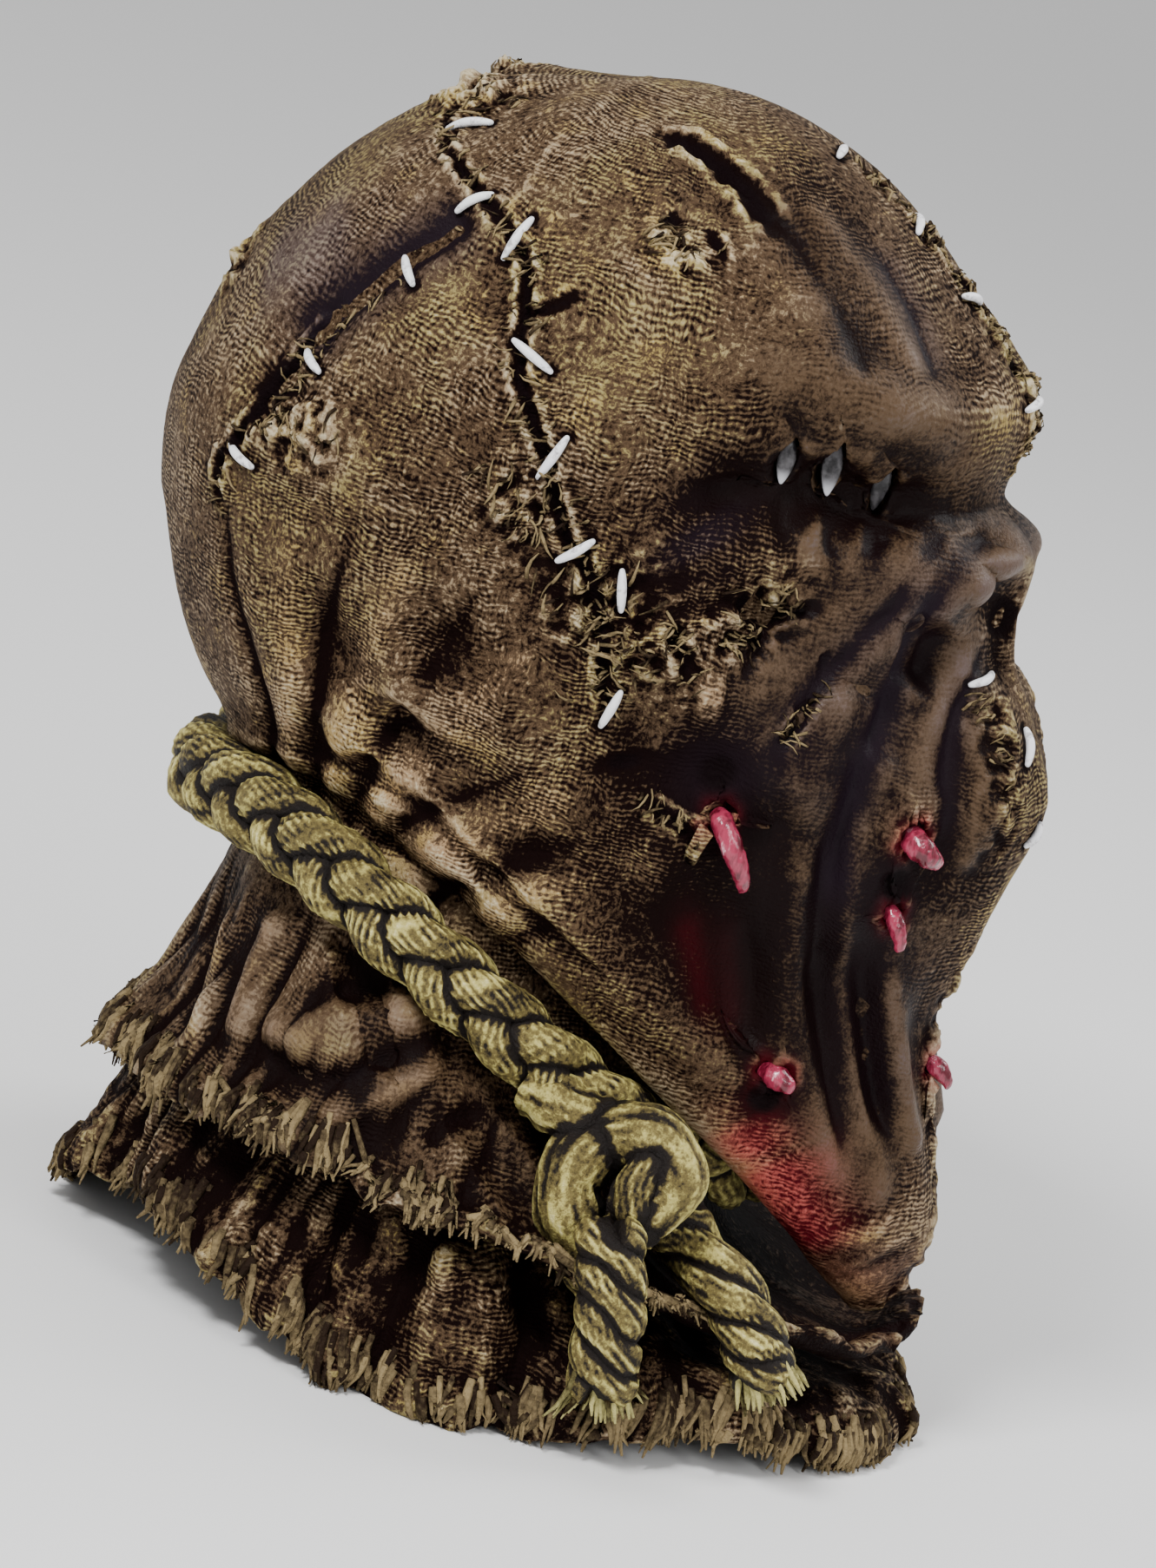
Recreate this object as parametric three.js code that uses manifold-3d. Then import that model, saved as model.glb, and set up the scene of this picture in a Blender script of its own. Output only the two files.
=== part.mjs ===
// A full-head scarecrow mask: a burlap sack gathered at the neck by a rope, with a two-layer ragged collar,
// torn seams closed by white stitches, thorn-like fangs through the cheeks and three slits for each eye.
// Millimetres, +Z up. The face looks along -Y, and the mask's right side is -X.
import * as THREE from 'three';
import { mergeVertices } from 'three/addons/utils/BufferGeometryUtils.js';
import Module from 'manifold-3d';

const wasm = await Module();
wasm.setup();

// Driving sizes
const maskHeight = 384;        // floor to crown
const maskDepth = 307;         // back of the head to the front of the collar
const headHalfWidth = 105;     // middle plane to temple
const wall = 2.4;              // thickness of the sack
const collarWall = 2.2;        // thickness of the lower collar
const clearance = 0.35;        // air between pieces that touch on the real mask
const napeRopeRadius = 13;     // the rope where it is plaited, behind the neck
const frontRopeRadius = 10.5;  // the rope under the jaw
const tailRadius = 9.6;
const knotStrandRadius = 10;
const stitchLength = 14.5;
const stitchRadius = 1.35;
const slitLength = 19;
const slitWidth = 7;
const slitDepth = 3.4;

// Fineness of the facets
const columns = 38;            // points round a section of the hood or the collar
const faceCrowding = 0.22;     // how much closer together they stand at the face, in radians
const facets = { fang: 6, slit: 6, stitch: 4, rope: 8, tail: 8, knot: 6 };  // sides of each round piece
const degree = Math.PI / 180;
const tiny = 1e-6;

// Rows of a table as objects with named columns
function table(names, rows) {
  return rows.map((row) => Object.fromEntries(names.map((name, i) => [name, row[i]])));
}

// The sections of the hood from the crown down to the hem of its upper ruffle. Each one is a tilted oval.
// back, front: shares of the mask's depth, from the back of the head. rearHeight, faceHeight: shares of its
// height, where the section crosses the middle plane. width: share of the head's half width. widest: where
// along the section that is. faceTaper, rearTaper: how much narrower than an ellipse that end is. rise: how
// far the sides lie above the plane of the section, as a share of the height. lean: how much more they rise
// towards the rear.
const sectionColumns = [
  'back', 'rearHeight', 'front', 'faceHeight', 'width', 'widest', 'faceTaper', 'rearTaper', 'rise', 'lean',
];
const hoodSections = table(sectionColumns, [
  [0.450, 1.000, 0.450, 1.000, 0.000, 0.45, 0.00, 0.00, 0.000, 0.00],  // crown
  [0.385, 0.992, 0.500, 0.996, 0.180, 0.45, 0.00, 0.00, 0.000, 0.00],
  [0.292, 0.970, 0.595, 0.976, 0.430, 0.44, 0.00, 0.00, 0.000, 0.00],
  [0.182, 0.926, 0.682, 0.937, 0.670, 0.43, 0.02, 0.00, 0.000, 0.00],
  [0.094, 0.858, 0.756, 0.886, 0.860, 0.42, 0.05, 0.00, 0.000, 0.00],
  [0.036, 0.768, 0.812, 0.836, 0.965, 0.42, 0.08, 0.00, 0.000, 0.00],  // forehead
  [0.010, 0.692, 0.822, 0.788, 1.000, 0.42, 0.12, 0.00, 0.000, 0.00],  // brow
  [0.004, 0.645, 0.822, 0.758, 1.000, 0.42, 0.16, 0.00, 0.003, 0.00],  // dip above the nose
  [0.010, 0.600, 0.866, 0.727, 0.990, 0.42, 0.24, 0.00, 0.008, 0.00],  // bridge of the nose
  [0.026, 0.550, 0.876, 0.690, 0.970, 0.42, 0.28, 0.00, 0.012, 0.00],
  [0.054, 0.500, 0.884, 0.640, 0.950, 0.42, 0.30, 0.00, 0.018, 0.00],  // cheek
  [0.085, 0.455, 0.918, 0.590, 0.930, 0.42, 0.31, 0.00, 0.024, 0.00],
  [0.106, 0.425, 0.950, 0.540, 0.915, 0.42, 0.32, 0.00, 0.034, 0.00],  // muzzle
  [0.120, 0.408, 0.940, 0.480, 0.905, 0.42, 0.34, 0.00, 0.047, 0.00],
  [0.130, 0.398, 0.922, 0.412, 0.900, 0.42, 0.36, 0.00, 0.057, 0.00],
  [0.138, 0.391, 0.908, 0.345, 0.895, 0.42, 0.38, 0.00, 0.067, 0.05],
  [0.144, 0.386, 0.934, 0.262, 0.890, 0.42, 0.40, 0.00, 0.082, 0.10],
  [0.149, 0.382, 0.966, 0.190, 0.874, 0.42, 0.42, 0.00, 0.097, 0.10],  // chin
  [0.153, 0.379, 0.958, 0.138, 0.845, 0.42, 0.42, 0.00, 0.105, 0.10],
  [0.158, 0.376, 0.915, 0.098, 0.785, 0.42, 0.40, 0.00, 0.113, 0.10],  // underside of the chin
  [0.168, 0.372, 0.865, 0.175, 0.760, 0.43, 0.34, 0.00, 0.085, 0.10],
  [0.180, 0.366, 0.762, 0.235, 0.760, 0.44, 0.22, 0.00, 0.062, 0.35],
  [0.190, 0.356, 0.738, 0.184, 0.752, 0.45, 0.10, 0.00, 0.058, 0.60],  // groove that holds the rope
  [0.190, 0.336, 0.742, 0.150, 0.760, 0.45, 0.08, 0.00, 0.053, 0.60],
  [0.182, 0.304, 0.775, 0.122, 0.820, 0.45, 0.08, 0.00, 0.052, 0.60],
  [0.172, 0.256, 0.850, 0.096, 0.920, 0.45, 0.08, 0.00, 0.040, 0.50],  // upper ruffle
  [0.146, 0.190, 0.925, 0.086, 1.020, 0.45, 0.08, 0.00, 0.036, 0.40],
  [0.114, 0.126, 0.976, 0.100, 1.090, 0.45, 0.08, 0.00, 0.040, 0.30],  // its hem
]);

// The sections of the lower collar, from its top edge inside the neck down to the floor
const collarSections = table(sectionColumns, [
  [0.203, 0.352, 0.722, 0.176, 0.712, 0.45, 0.10, 0.00, 0.058, 0.60],
  [0.203, 0.330, 0.724, 0.140, 0.718, 0.45, 0.08, 0.00, 0.053, 0.60],
  [0.200, 0.280, 0.748, 0.092, 0.748, 0.45, 0.08, 0.00, 0.044, 0.60],
  [0.194, 0.214, 0.822, 0.058, 0.825, 0.45, 0.08, 0.00, 0.024, 0.50],
  [0.166, 0.142, 0.925, 0.050, 0.945, 0.45, 0.08, 0.00, 0.006, 0.40],
  [0.136, 0.068, 0.988, 0.042, 1.035, 0.45, 0.08, 0.00, 0.000, 0.00],
  [0.122, 0.000, 1.000, 0.000, 1.090, 0.45, 0.08, 0.00, 0.000, 0.00],
]);

// How far the lower hem lifts off the floor around the mask, as a share of the height
const hemLift = table(['turn', 'lift'], [
  [0, 0], [11, 0], [26, 0.014], [48, 0.036], [60, 0.028], [72, 0.006], [77, 0], [91, 0], [99, 0.024],
  [108, 0.036], [120, 0.054], [132, 0.078], [146, 0.056], [156, 0.036], [166, 0], [180, 0],
]);

// Smooth value between the rows of a table column, at a row number with a fraction
function between(rows, name, at) {
  const last = rows.length - 1;
  const i = Math.min(Math.max(Math.floor(at), 0), last - 1);
  const t = at - i;
  const value = (k) => rows[Math.min(Math.max(k, 0), last)][name];
  const [a, b, c, d] = [value(i - 1), value(i), value(i + 1), value(i + 2)];
  return b + 0.5 * t * (c - a + t * (2 * a - 5 * b + 4 * c - d + t * (3 * (b - c) + d - a)));
}

// How sharply the sides rise towards the widest place
const riseSharpness = 1.5;

// A point of a lofted skin. at: row number. turn: 0 at the face, growing over the mask's right side.
function skinPoint(sections, at, turn) {
  const row = (name) => between(sections, name, at);
  const c = Math.cos(turn);
  const s = Math.sin(turn);
  const widest = row('widest');
  const along = widest + (c > 0 ? 1 - widest : widest) * c;
  const taper = c > 0 ? row('faceTaper') : row('rearTaper');
  const forward = maskDepth * THREE.MathUtils.lerp(row('back'), row('front'), along);
  const height = maskHeight * THREE.MathUtils.lerp(row('rearHeight'), row('faceHeight'), along);
  const side = headHalfWidth * row('width') * s * (1 - taper * c * c);
  const lift = maskHeight * row('rise') * Math.abs(s) ** riseSharpness * (1 - row('lean') * c);
  return new THREE.Vector3(-side, -forward, height + lift);
}

// The lift of the lower hem at a turn, the same on both sides
function liftAt(turn) {
  const angle = Math.abs(Math.atan2(Math.sin(turn), Math.cos(turn))) / degree;
  const next = Math.max(hemLift.findIndex((row) => row.turn >= angle - tiny), 1);
  const [low, high] = [hemLift[next - 1], hemLift[next]];
  const share = THREE.MathUtils.smoothstep(angle, low.turn, high.turn);
  return maskHeight * THREE.MathUtils.lerp(low.lift, high.lift, share);
}

// Outward normal of a lofted skin
function skinNormal(sections, at, turn) {
  const step = 0.02;
  const last = sections.length - 1;
  const up = skinPoint(sections, Math.max(at - step, 0), turn);
  const down = skinPoint(sections, Math.min(at + step, last), turn);
  const left = skinPoint(sections, at, turn - step);
  const right = skinPoint(sections, at, turn + step);
  return right.sub(left).cross(down.sub(up)).normalize();
}

// Relief of the sack: ridges, folds and hollows, on both sides of the mask. Each runs over the skin from one
// row and turn to another. reach: its half width. height: out of the skin, or into it where negative. Both
// are shares of the head's half width.
const reliefColumns = ['fromRow', 'fromTurn', 'toRow', 'toTurn', 'reach', 'height'];
const hoodRelief = table(reliefColumns, [
  [2.9, 152, 2.5, 165, 0.10, 0.045],   // torn lump on the crown
  [3.9, 108, 4.9, 120, 0.10, -0.035],  // groove of the back seam
  [5.0, 121, 5.8, 123, 0.08, -0.045],  // and the hole at its end
  [3.7, 104, 5.2, 82, 0.05, -0.020],   // side seam
  [5.2, 82, 8.8, 73, 0.05, -0.020],
  [2.1, 80, 2.8, 57, 0.07, -0.035],    // gash over the forehead
  [3.3, 47, 4.7, 43, 0.10, 0.030],     // forehead fold
  [4.5, 56, 4.9, 35, 0.09, 0.045],     // brow ridge
  [4.9, 33, 5.1, 16, 0.09, 0.035],
  [4.7, 8, 5.0, 4, 0.12, 0.030],
  [6.4, 58, 6.3, 54, 0.10, -0.060],    // temple hollow
  [6.3, 46, 6.9, 33, 0.11, -0.070],    // eye socket
  [7.2, 24, 7.4, 14, 0.09, -0.040],
  [10.1, 62, 9.9, 66, 0.11, 0.045],    // cheekbone
  [8.9, 56, 9.4, 56, 0.06, -0.055],    // torn hole over it
  [7.6, 6, 8.6, 28, 0.06, 0.035],      // folds that sweep back from the nose
  [8.6, 28, 11.2, 53, 0.06, 0.035],
  [8.6, 14, 9.8, 30, 0.06, -0.050],
  [9.8, 30, 13.0, 55, 0.07, -0.050],
  [9.0, 10, 9.8, 10, 0.08, -0.070],    // nostril
  [10.4, 16, 12.4, 20, 0.06, 0.030],   // rib of the muzzle
  [10.6, 27, 13.4, 28, 0.06, -0.050],  // groove behind it
  [11.9, 65, 11.8, 75, 0.11, -0.060],  // cheek hollow
  [12.6, 48, 15.6, 38, 0.06, -0.045],  // folds down the cheek
  [14.4, 35, 16.9, 33, 0.05, -0.055],
  [14.2, 28, 16.6, 15, 0.06, 0.030],
  [14.8, 60, 16.6, 51, 0.07, -0.050],
  [14.6, 48, 16.6, 43, 0.05, 0.025],
  [8.8, 129, 14.0, 131, 0.05, -0.045],  // creases that gather above the rope
  [8.3, 107, 14.5, 123, 0.06, -0.070],
  [9.4, 89, 14.6, 113, 0.06, -0.075],
  [10.6, 99, 14.0, 115, 0.05, 0.030],
  [12.8, 87, 16.2, 108, 0.06, -0.055],
  [14.3, 78, 16.4, 94, 0.06, -0.050],
  [15.3, 80, 17.0, 93, 0.05, 0.035],
  [15.9, 76, 17.8, 86, 0.05, -0.045],
  [8.6, 150, 13.6, 152, 0.06, -0.045],
  [9.0, 166, 13.2, 168, 0.06, -0.035],
  [23.8, 119, 25.2, 128, 0.06, -0.050],  // creases of the upper ruffle
  [24.0, 102, 25.0, 107, 0.05, -0.045],
  [25.4, 122, 24.9, 102, 0.07, 0.060],   // its big flap
  [24.9, 102, 23.6, 86, 0.06, 0.045],
  [26.8, 112, 25.2, 99, 0.06, 0.055],    // and the ridge below that
  [24.7, 149, 26.6, 148, 0.07, -0.055],
  [25.2, 163, 26.8, 166, 0.06, 0.045],
  [24.0, 69, 26.4, 80, 0.06, -0.045],
  [24.2, 58, 26.4, 71, 0.06, 0.045],
  [24.4, 32, 26.6, 49, 0.06, -0.040],
  [25.0, 5, 26.6, 22, 0.06, -0.030],
]);
const collarRelief = table(reliefColumns, [
  [3.6, 82, 5.8, 88, 0.07, 0.050],
  [4.2, 94, 4.8, 97, 0.07, -0.050],
  [3.4, 57, 5.8, 70, 0.07, -0.040],
  [4.6, 104, 6.0, 110, 0.06, -0.045],
  [4.2, 26, 5.8, 50, 0.07, -0.045],
  [4.4, 118, 6.0, 124, 0.07, 0.045],
  [4.4, 140, 6.0, 146, 0.08, -0.050],
  [4.4, 164, 6.0, 168, 0.07, 0.050],
  [4.6, 8, 6.0, 14, 0.07, -0.035],
]);

// Ragged hems: teeth that repeat round the mask, as depths in shares of its height
const hemTeeth = table(['count', 'phase', 'depth'], [[9, 0.7, 0.010], [17, 2.1, 0.007], [31, 0.3, 0.004]]);
// How far the longest teeth hang below the last section, as shares of the height
const hoodHemDrop = 0.010;
const collarHemDrop = 0.018;

// The stitches of each seam. row, turn: the middle. slant: from downhill towards the back, in degrees.
// length: a share of the longest stitch. sides: 2 where the other side of the mask has it too.
const stitches = table(['name', 'row', 'turn', 'slant', 'length', 'sides'], [
  ['crown', 2.9, 138, 35, 1.00, 2],
  ['seam_a', 3.6, 110, 29, 0.80, 2],
  ['seam_b', 3.8, 96, 0, 1.00, 2],
  ['seam_c', 4.9, 85, -71, 1.00, 2],
  ['seam_d', 6.1, 78, 13, 1.00, 2],
  ['seam_e', 8.1, 76, 66, 0.85, 2],
  ['seam_f', 8.8, 71, 0, 0.85, 2],
  ['seam_g', 10.8, 74, 47, 0.85, 2],
  ['back_a', 4.4, 112, -57, 0.75, 2],
  ['back_b', 5.5, 120, -76, 0.75, 2],
  ['back_c', 7.3, 126, -66, 0.85, 2],
  ['forehead_a', 1.8, 4, 80, 0.75, 1],
  ['forehead_b', 2.8, 2, 65, 0.85, 1],
  ['forehead_c', 3.7, 2, -70, 0.85, 1],
  ['forehead_d', 5.0, 3, 80, 0.75, 1],
  ['muzzle_a', 10.1, 18, 88, 0.90, 2],
  ['muzzle_b', 11.1, 9, 30, 0.80, 1],
  ['muzzle_c', 12.4, 4, 35, 0.60, 1],
]);

// The fangs: where each comes out of the skin, where its tip lies over it, how far out the tip stands and the
// radius of its root, the last two as shares of the head's half width
const fangs = table(['name', 'row', 'turn', 'tipRow', 'tipTurn', 'out', 'radius', 'sides'], [
  ['cheek', 13.0, 62, 14.4, 54, 0.085, 0.036, 2],
  ['lip_upper', 12.7, 36, 13.0, 29, 0.130, 0.042, 2],
  ['lip_lower', 13.8, 33, 14.3, 29, 0.075, 0.027, 2],
  ['jaw', 16.6, 49, 16.7, 47, 0.100, 0.038, 2],
  ['chin', 15.4, 3, 15.7, 1, 0.110, 0.030, 1],
]);

// The slits of the mask's right eye, from top to bottom
const slits = table(['name', 'row', 'turn', 'lean', 'size'], [
  ['outer', 5.8, 50, -5, 0.85],
  ['middle', 5.9, 43, -6, 1.00],
  ['inner', 6.5, 33, -9, 0.95],
]);

// Routes of the two rope ends. turn: round the mask's axis, from the face. up: share of the height. Each
// point then lies on the collar at that place.
const tailRoutes = {
  rope_tail_a: table(['turn', 'up'], [[57, 0.176], [57.5, 0.148], [56, 0.12], [54.5, 0.094], [55, 0.062]]),
  rope_tail_b: table(['turn', 'up'], [[43, 0.19], [40, 0.164], [37, 0.134], [35.5, 0.106], [33.5, 0.074]]),
};

// Closed mesh from points and triangles, turned so that its faces point out
function closedGeometry(points, triangles) {
  const geometry = new THREE.BufferGeometry();
  const positions = points.flatMap((point) => [point.x, point.y, point.z]);
  geometry.setAttribute('position', new THREE.Float32BufferAttribute(positions, 3));
  const [a, b, c] = [new THREE.Vector3(), new THREE.Vector3(), new THREE.Vector3()];
  let volume = 0;
  for (const [i, j, k] of triangles) {
    volume += a.copy(points[i]).dot(b.copy(points[j]).cross(c.copy(points[k])));
  }
  geometry.setIndex(triangles.flatMap(([i, j, k]) => (volume > 0 ? [i, j, k] : [i, k, j])));
  return geometry;
}

// Triangles between two rings of as many points
function bridge(first, second, count) {
  const out = [];
  for (let i = 0; i < count; i++) {
    const next = (i + 1) % count;
    out.push([first + i, first + next, second + i], [first + next, second + next, second + i]);
  }
  return out;
}

// Each row of a relief as a line of points on both sides of the mask
function reliefTracks(sections, relief) {
  const parts = 4;
  return relief.flatMap((row) => [1, -1].map((side) => {
    const track = [];
    for (let i = 0; i <= parts; i++) {
      const at = THREE.MathUtils.lerp(row.fromRow, row.toRow, i / parts);
      const turn = THREE.MathUtils.lerp(row.fromTurn, row.toTurn, i / parts) * degree * side;
      track.push(skinPoint(sections, at, turn));
    }
    return { track, reach: row.reach * headHalfWidth, height: row.height * headHalfWidth };
  }));
}

// Height of the relief at a point of the base skin
function reliefAt(tracks, point) {
  const line = new THREE.Line3();
  const closest = new THREE.Vector3();
  let sum = 0;
  for (const { track, reach, height } of tracks) {
    let nearest = Infinity;
    for (let i = 1; i < track.length; i++) {
      line.set(track[i - 1], track[i]).closestPointToPoint(point, true, closest);
      nearest = Math.min(nearest, closest.distanceToSquared(point));
    }
    const flatBeyond = 3 * reach;
    if (nearest < flatBeyond * flatBeyond) sum += height * Math.exp(-nearest / (reach * reach));
  }
  return sum;
}

// Turn of a column: the columns stand closer together at the face
function columnTurn(i) {
  const even = (2 * Math.PI * i) / columns;
  return even - faceCrowding * Math.sin(even);
}

// A skin of a wall's thickness: outer rings down to the hem, then inner rings back up. rag: moves a point of
// the outer skin, given its row and turn. A skin whose first row is a point is closed there.
function wallFromSections(sections, rows, relief, thickness, rag) {
  const tracks = reliefTracks(sections, relief);
  const pole = sections[0].width === 0;
  const outer = rows.map((at) => Array.from({ length: columns }, (_, i) => {
    const turn = columnTurn(i);
    const point = skinPoint(sections, at, turn);
    const height = reliefAt(tracks, point);
    return rag(point.addScaledVector(skinNormal(sections, at, turn), height), at, turn);
  }));
  const inner = outer.map((ring, r) => ring.map((point, i) => {
    const above = outer[Math.max(r - 1, 0)][i];
    const below = outer[Math.min(r + 1, rows.length - 1)][i];
    const before = ring[(i + columns - 1) % columns];
    const after = ring[(i + 1) % columns];
    const measured = after.clone().sub(before).cross(below.clone().sub(above)).normalize();
    const normal = measured.add(skinNormal(sections, rows[r], columnTurn(i))).normalize();
    return point.clone().addScaledVector(normal, -thickness);
  }));
  const rings = [...outer, ...inner.reverse()];
  const points = rings.flat();
  const triangles = [];
  for (let r = 0; r < rings.length - 1; r++) {
    triangles.push(...bridge(r * columns, (r + 1) * columns, columns));
  }
  if (!pole) {
    triangles.push(...bridge((rings.length - 1) * columns, 0, columns));
    return closedGeometry(points, triangles);
  }
  // both skins close on a single point at the crown
  const crown = skinPoint(sections, 0, 0);
  points.push(crown, crown.clone().setZ(crown.z - thickness));
  const lastRing = (rings.length - 1) * columns;
  for (let i = 0; i < columns; i++) {
    const next = (i + 1) % columns;
    triangles.push([points.length - 2, next, i], [points.length - 1, lastRing + i, lastRing + next]);
  }
  return closedGeometry(points, triangles);
}

// Solid swept through stations, each with its centre, two unit directions and two half sizes. shape: the
// section's radius at an angle, as a share. A closed sweep has no ends.
function sweep(stations, sides, closed, shape = () => 1) {
  const points = [];
  stations.forEach((station, n) => {
    for (let i = 0; i < sides; i++) {
      const angle = (2 * Math.PI * i) / sides;
      const radius = shape(angle, n);
      points.push(station.centre.clone()
        .addScaledVector(station.across, station.width * radius * Math.cos(angle))
        .addScaledVector(station.out, station.depth * radius * Math.sin(angle)));
    }
  });
  const triangles = [];
  const last = stations.length - 1;
  for (let n = 0; n < last; n++) triangles.push(...bridge(n * sides, (n + 1) * sides, sides));
  if (closed) {
    triangles.push(...bridge(last * sides, 0, sides));
    return closedGeometry(points, triangles);
  }
  points.push(stations[0].centre.clone(), stations[last].centre.clone());
  for (let i = 0; i < sides; i++) {
    const next = (i + 1) % sides;
    triangles.push([points.length - 2, next, i], [points.length - 1, last * sides + i, last * sides + next]);
  }
  return closedGeometry(points, triangles);
}

// Stations of a round tube along centres, with the given radius at each share of the way
function tubeStations(centres, radiusAt, outward) {
  return centres.map((centre, n) => {
    const before = centres[Math.max(n - 1, 0)];
    const after = centres[Math.min(n + 1, centres.length - 1)];
    const along = after.clone().sub(before).normalize();
    const across = along.clone().cross(outward).normalize();
    const out = across.clone().cross(along).normalize();
    const radius = radiusAt(n / (centres.length - 1));
    return { centre, across, out, width: radius, depth: radius };
  });
}

// Solids for cuts and joins
const weldDistance = 1e-4;

function solidOf(geometry) {
  const plain = geometry.clone();
  plain.deleteAttribute('normal');
  plain.deleteAttribute('uv');
  const merged = mergeVertices(plain, weldDistance);
  return new wasm.Manifold(new wasm.Mesh({
    numProp: 3,
    vertProperties: new Float32Array(merged.attributes.position.array),
    triVerts: new Uint32Array(merged.index.array),
  }));
}

function geometryOf(solid) {
  const bodies = solid.decompose().sort((a, b) => b.volume() - a.volume());
  const { numProp, vertProperties, triVerts } = bodies[0].getMesh();
  const geometry = new THREE.BufferGeometry();
  const positions = [];
  for (let i = 0; i < vertProperties.length; i += numProp) positions.push(...vertProperties.slice(i, i + 3));
  geometry.setAttribute('position', new THREE.Float32BufferAttribute(positions, 3));
  geometry.setIndex([...triVerts]);
  return geometry;
}

// Faces of some geometries
function facesOf(...geometries) {
  return geometries.flatMap((geometry) => {
    const position = geometry.attributes.position;
    const index = geometry.index.array;
    const corner = (i) => new THREE.Vector3().fromBufferAttribute(position, index[i]);
    const faces = [];
    for (let i = 0; i < index.length; i += 3) {
      faces.push(new THREE.Triangle(corner(i), corner(i + 1), corner(i + 2)));
    }
    return faces;
  });
}

// Distance from a point to the nearest face. Faces that lie much higher or lower aren't tried.
const heightTried = maskHeight / 6;

function distanceTo(faces, point) {
  const closest = new THREE.Vector3();
  let nearest = Infinity;
  for (const face of faces) {
    if (Math.abs(face.a.z - point.z) > heightTried) continue;
    face.closestPointToPoint(point, closest);
    nearest = Math.min(nearest, closest.distanceToSquared(point));
  }
  return Math.sqrt(nearest);
}

// Lays a point on the faces: it comes from far out along a direction and stops at the wanted distance
function laidOn(faces, point, direction, far, distance) {
  const tries = 60;
  const closeEnough = 0.01;
  const moved = point.clone().addScaledVector(direction, far);
  for (let i = 0; i < tries; i++) {
    const spare = distanceTo(faces, moved) - distance;
    if (spare < closeEnough) break;
    moved.addScaledVector(direction, -spare);
  }
  return moved;
}

// Finishes
const finish = (color, roughness) => new THREE.MeshStandardMaterial({ color, roughness, metalness: 0 });
const sackFinish = finish(0x6e6240, 0.75);
const collarFinish = finish(0x5c5138, 0.8);
const ropeFinish = finish(0xa89f58, 0.7);
const stitchFinish = finish(0xe6e4e6, 0.45);
const fangFinish = finish(0xb8405c, 0.25);
const eyeFinish = finish(0x8a8a90, 0.15);

const mask = new THREE.Group();
mask.name = 'scarecrow_mask';

function add(name, geometry, material) {
  const mesh = new THREE.Mesh(geometry, material);
  mesh.name = name;
  mask.add(mesh);
  return mesh;
}

// Each side that a row has: the name's ending and the sign of the turn
function sidesOf(row) {
  return row.sides === 1 ? [['', 1]] : [['_right', 1], ['_left', -1]];
}

// Unit directions on the hood's skin: downhill, round the mask and out
function skinFrame(at, turn) {
  const step = 0.1;
  const last = hoodSections.length - 1;
  const above = skinPoint(hoodSections, Math.max(at - step, 0), turn);
  const down = skinPoint(hoodSections, Math.min(at + step, last), turn).sub(above).normalize();
  const out = skinNormal(hoodSections, at, turn);
  return { down, round: out.clone().cross(down).negate().normalize(), out };
}

const hoodTracks = reliefTracks(hoodSections, hoodRelief);

// A point over the relieved skin of the hood
function overHood(at, turn, height) {
  const point = skinPoint(hoodSections, at, turn);
  return point.addScaledVector(skinNormal(hoodSections, at, turn), reliefAt(hoodTracks, point) + height);
}

// Height of the hem between its teeth at a turn
function toothDepth(turn) {
  return hemTeeth.reduce((sum, tooth) => (
    sum + maskHeight * tooth.depth * 0.5 * (1 + Math.cos(tooth.count * turn + tooth.phase))
  ), 0);
}

// Hood. Its facets are as tall as a section, and half as tall from the brow to the muzzle.
const halfRows = { from: 4.5, to: 11 };
const hoodRows = [];
for (let at = 0.5; at < hoodSections.length - 1; at += at >= halfRows.from && at < halfRows.to ? 0.5 : 1) {
  hoodRows.push(at);
}
hoodRows.push(hoodSections.length - 1);

function ragHood(point, at, turn) {
  const last = hoodSections.length - 1;
  point.z += at === last ? toothDepth(turn) - maskHeight * hoodHemDrop : 0;
  return point;
}

let hood = solidOf(wallFromSections(hoodSections, hoodRows, hoodRelief, wall, ragHood));

// Lower collar: it hangs inside the neck and stands on the floor
const collarRows = [0, 1, 2, 3, 3.8, 4.6, 5.3, collarSections.length - 1];
const liftFrom = 3;  // the row below which the hem's lift is felt

function ragCollar(point, at, turn) {
  const last = collarSections.length - 1;
  point.z += liftAt(turn) * THREE.MathUtils.smoothstep(at, liftFrom, last);
  if (at === last) point.z = Math.max(point.z + toothDepth(turn) - maskHeight * collarHemDrop, 0);
  return point;
}

const collar = wallFromSections(collarSections, collarRows, collarRelief, collarWall, ragCollar);

// The foot of the wall is level, so that the mask stands on it
function levelFoot(geometry) {
  const position = geometry.attributes.position;
  for (let i = 0; i < position.count; i++) position.setZ(i, Math.max(position.getZ(i), 0));
  return geometry;
}

add('under_collar', levelFoot(collar), collarFinish);

// Fangs: each passes through a hole in the hood with some air round it. It is thickest where it comes out.
const fangShape = {
  rootInside: 3, mouthOutside: 1, bend: 0.65, steps: 4, root: 0.85, thickestAt: 0.4, tip: 0.25,
};

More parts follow.
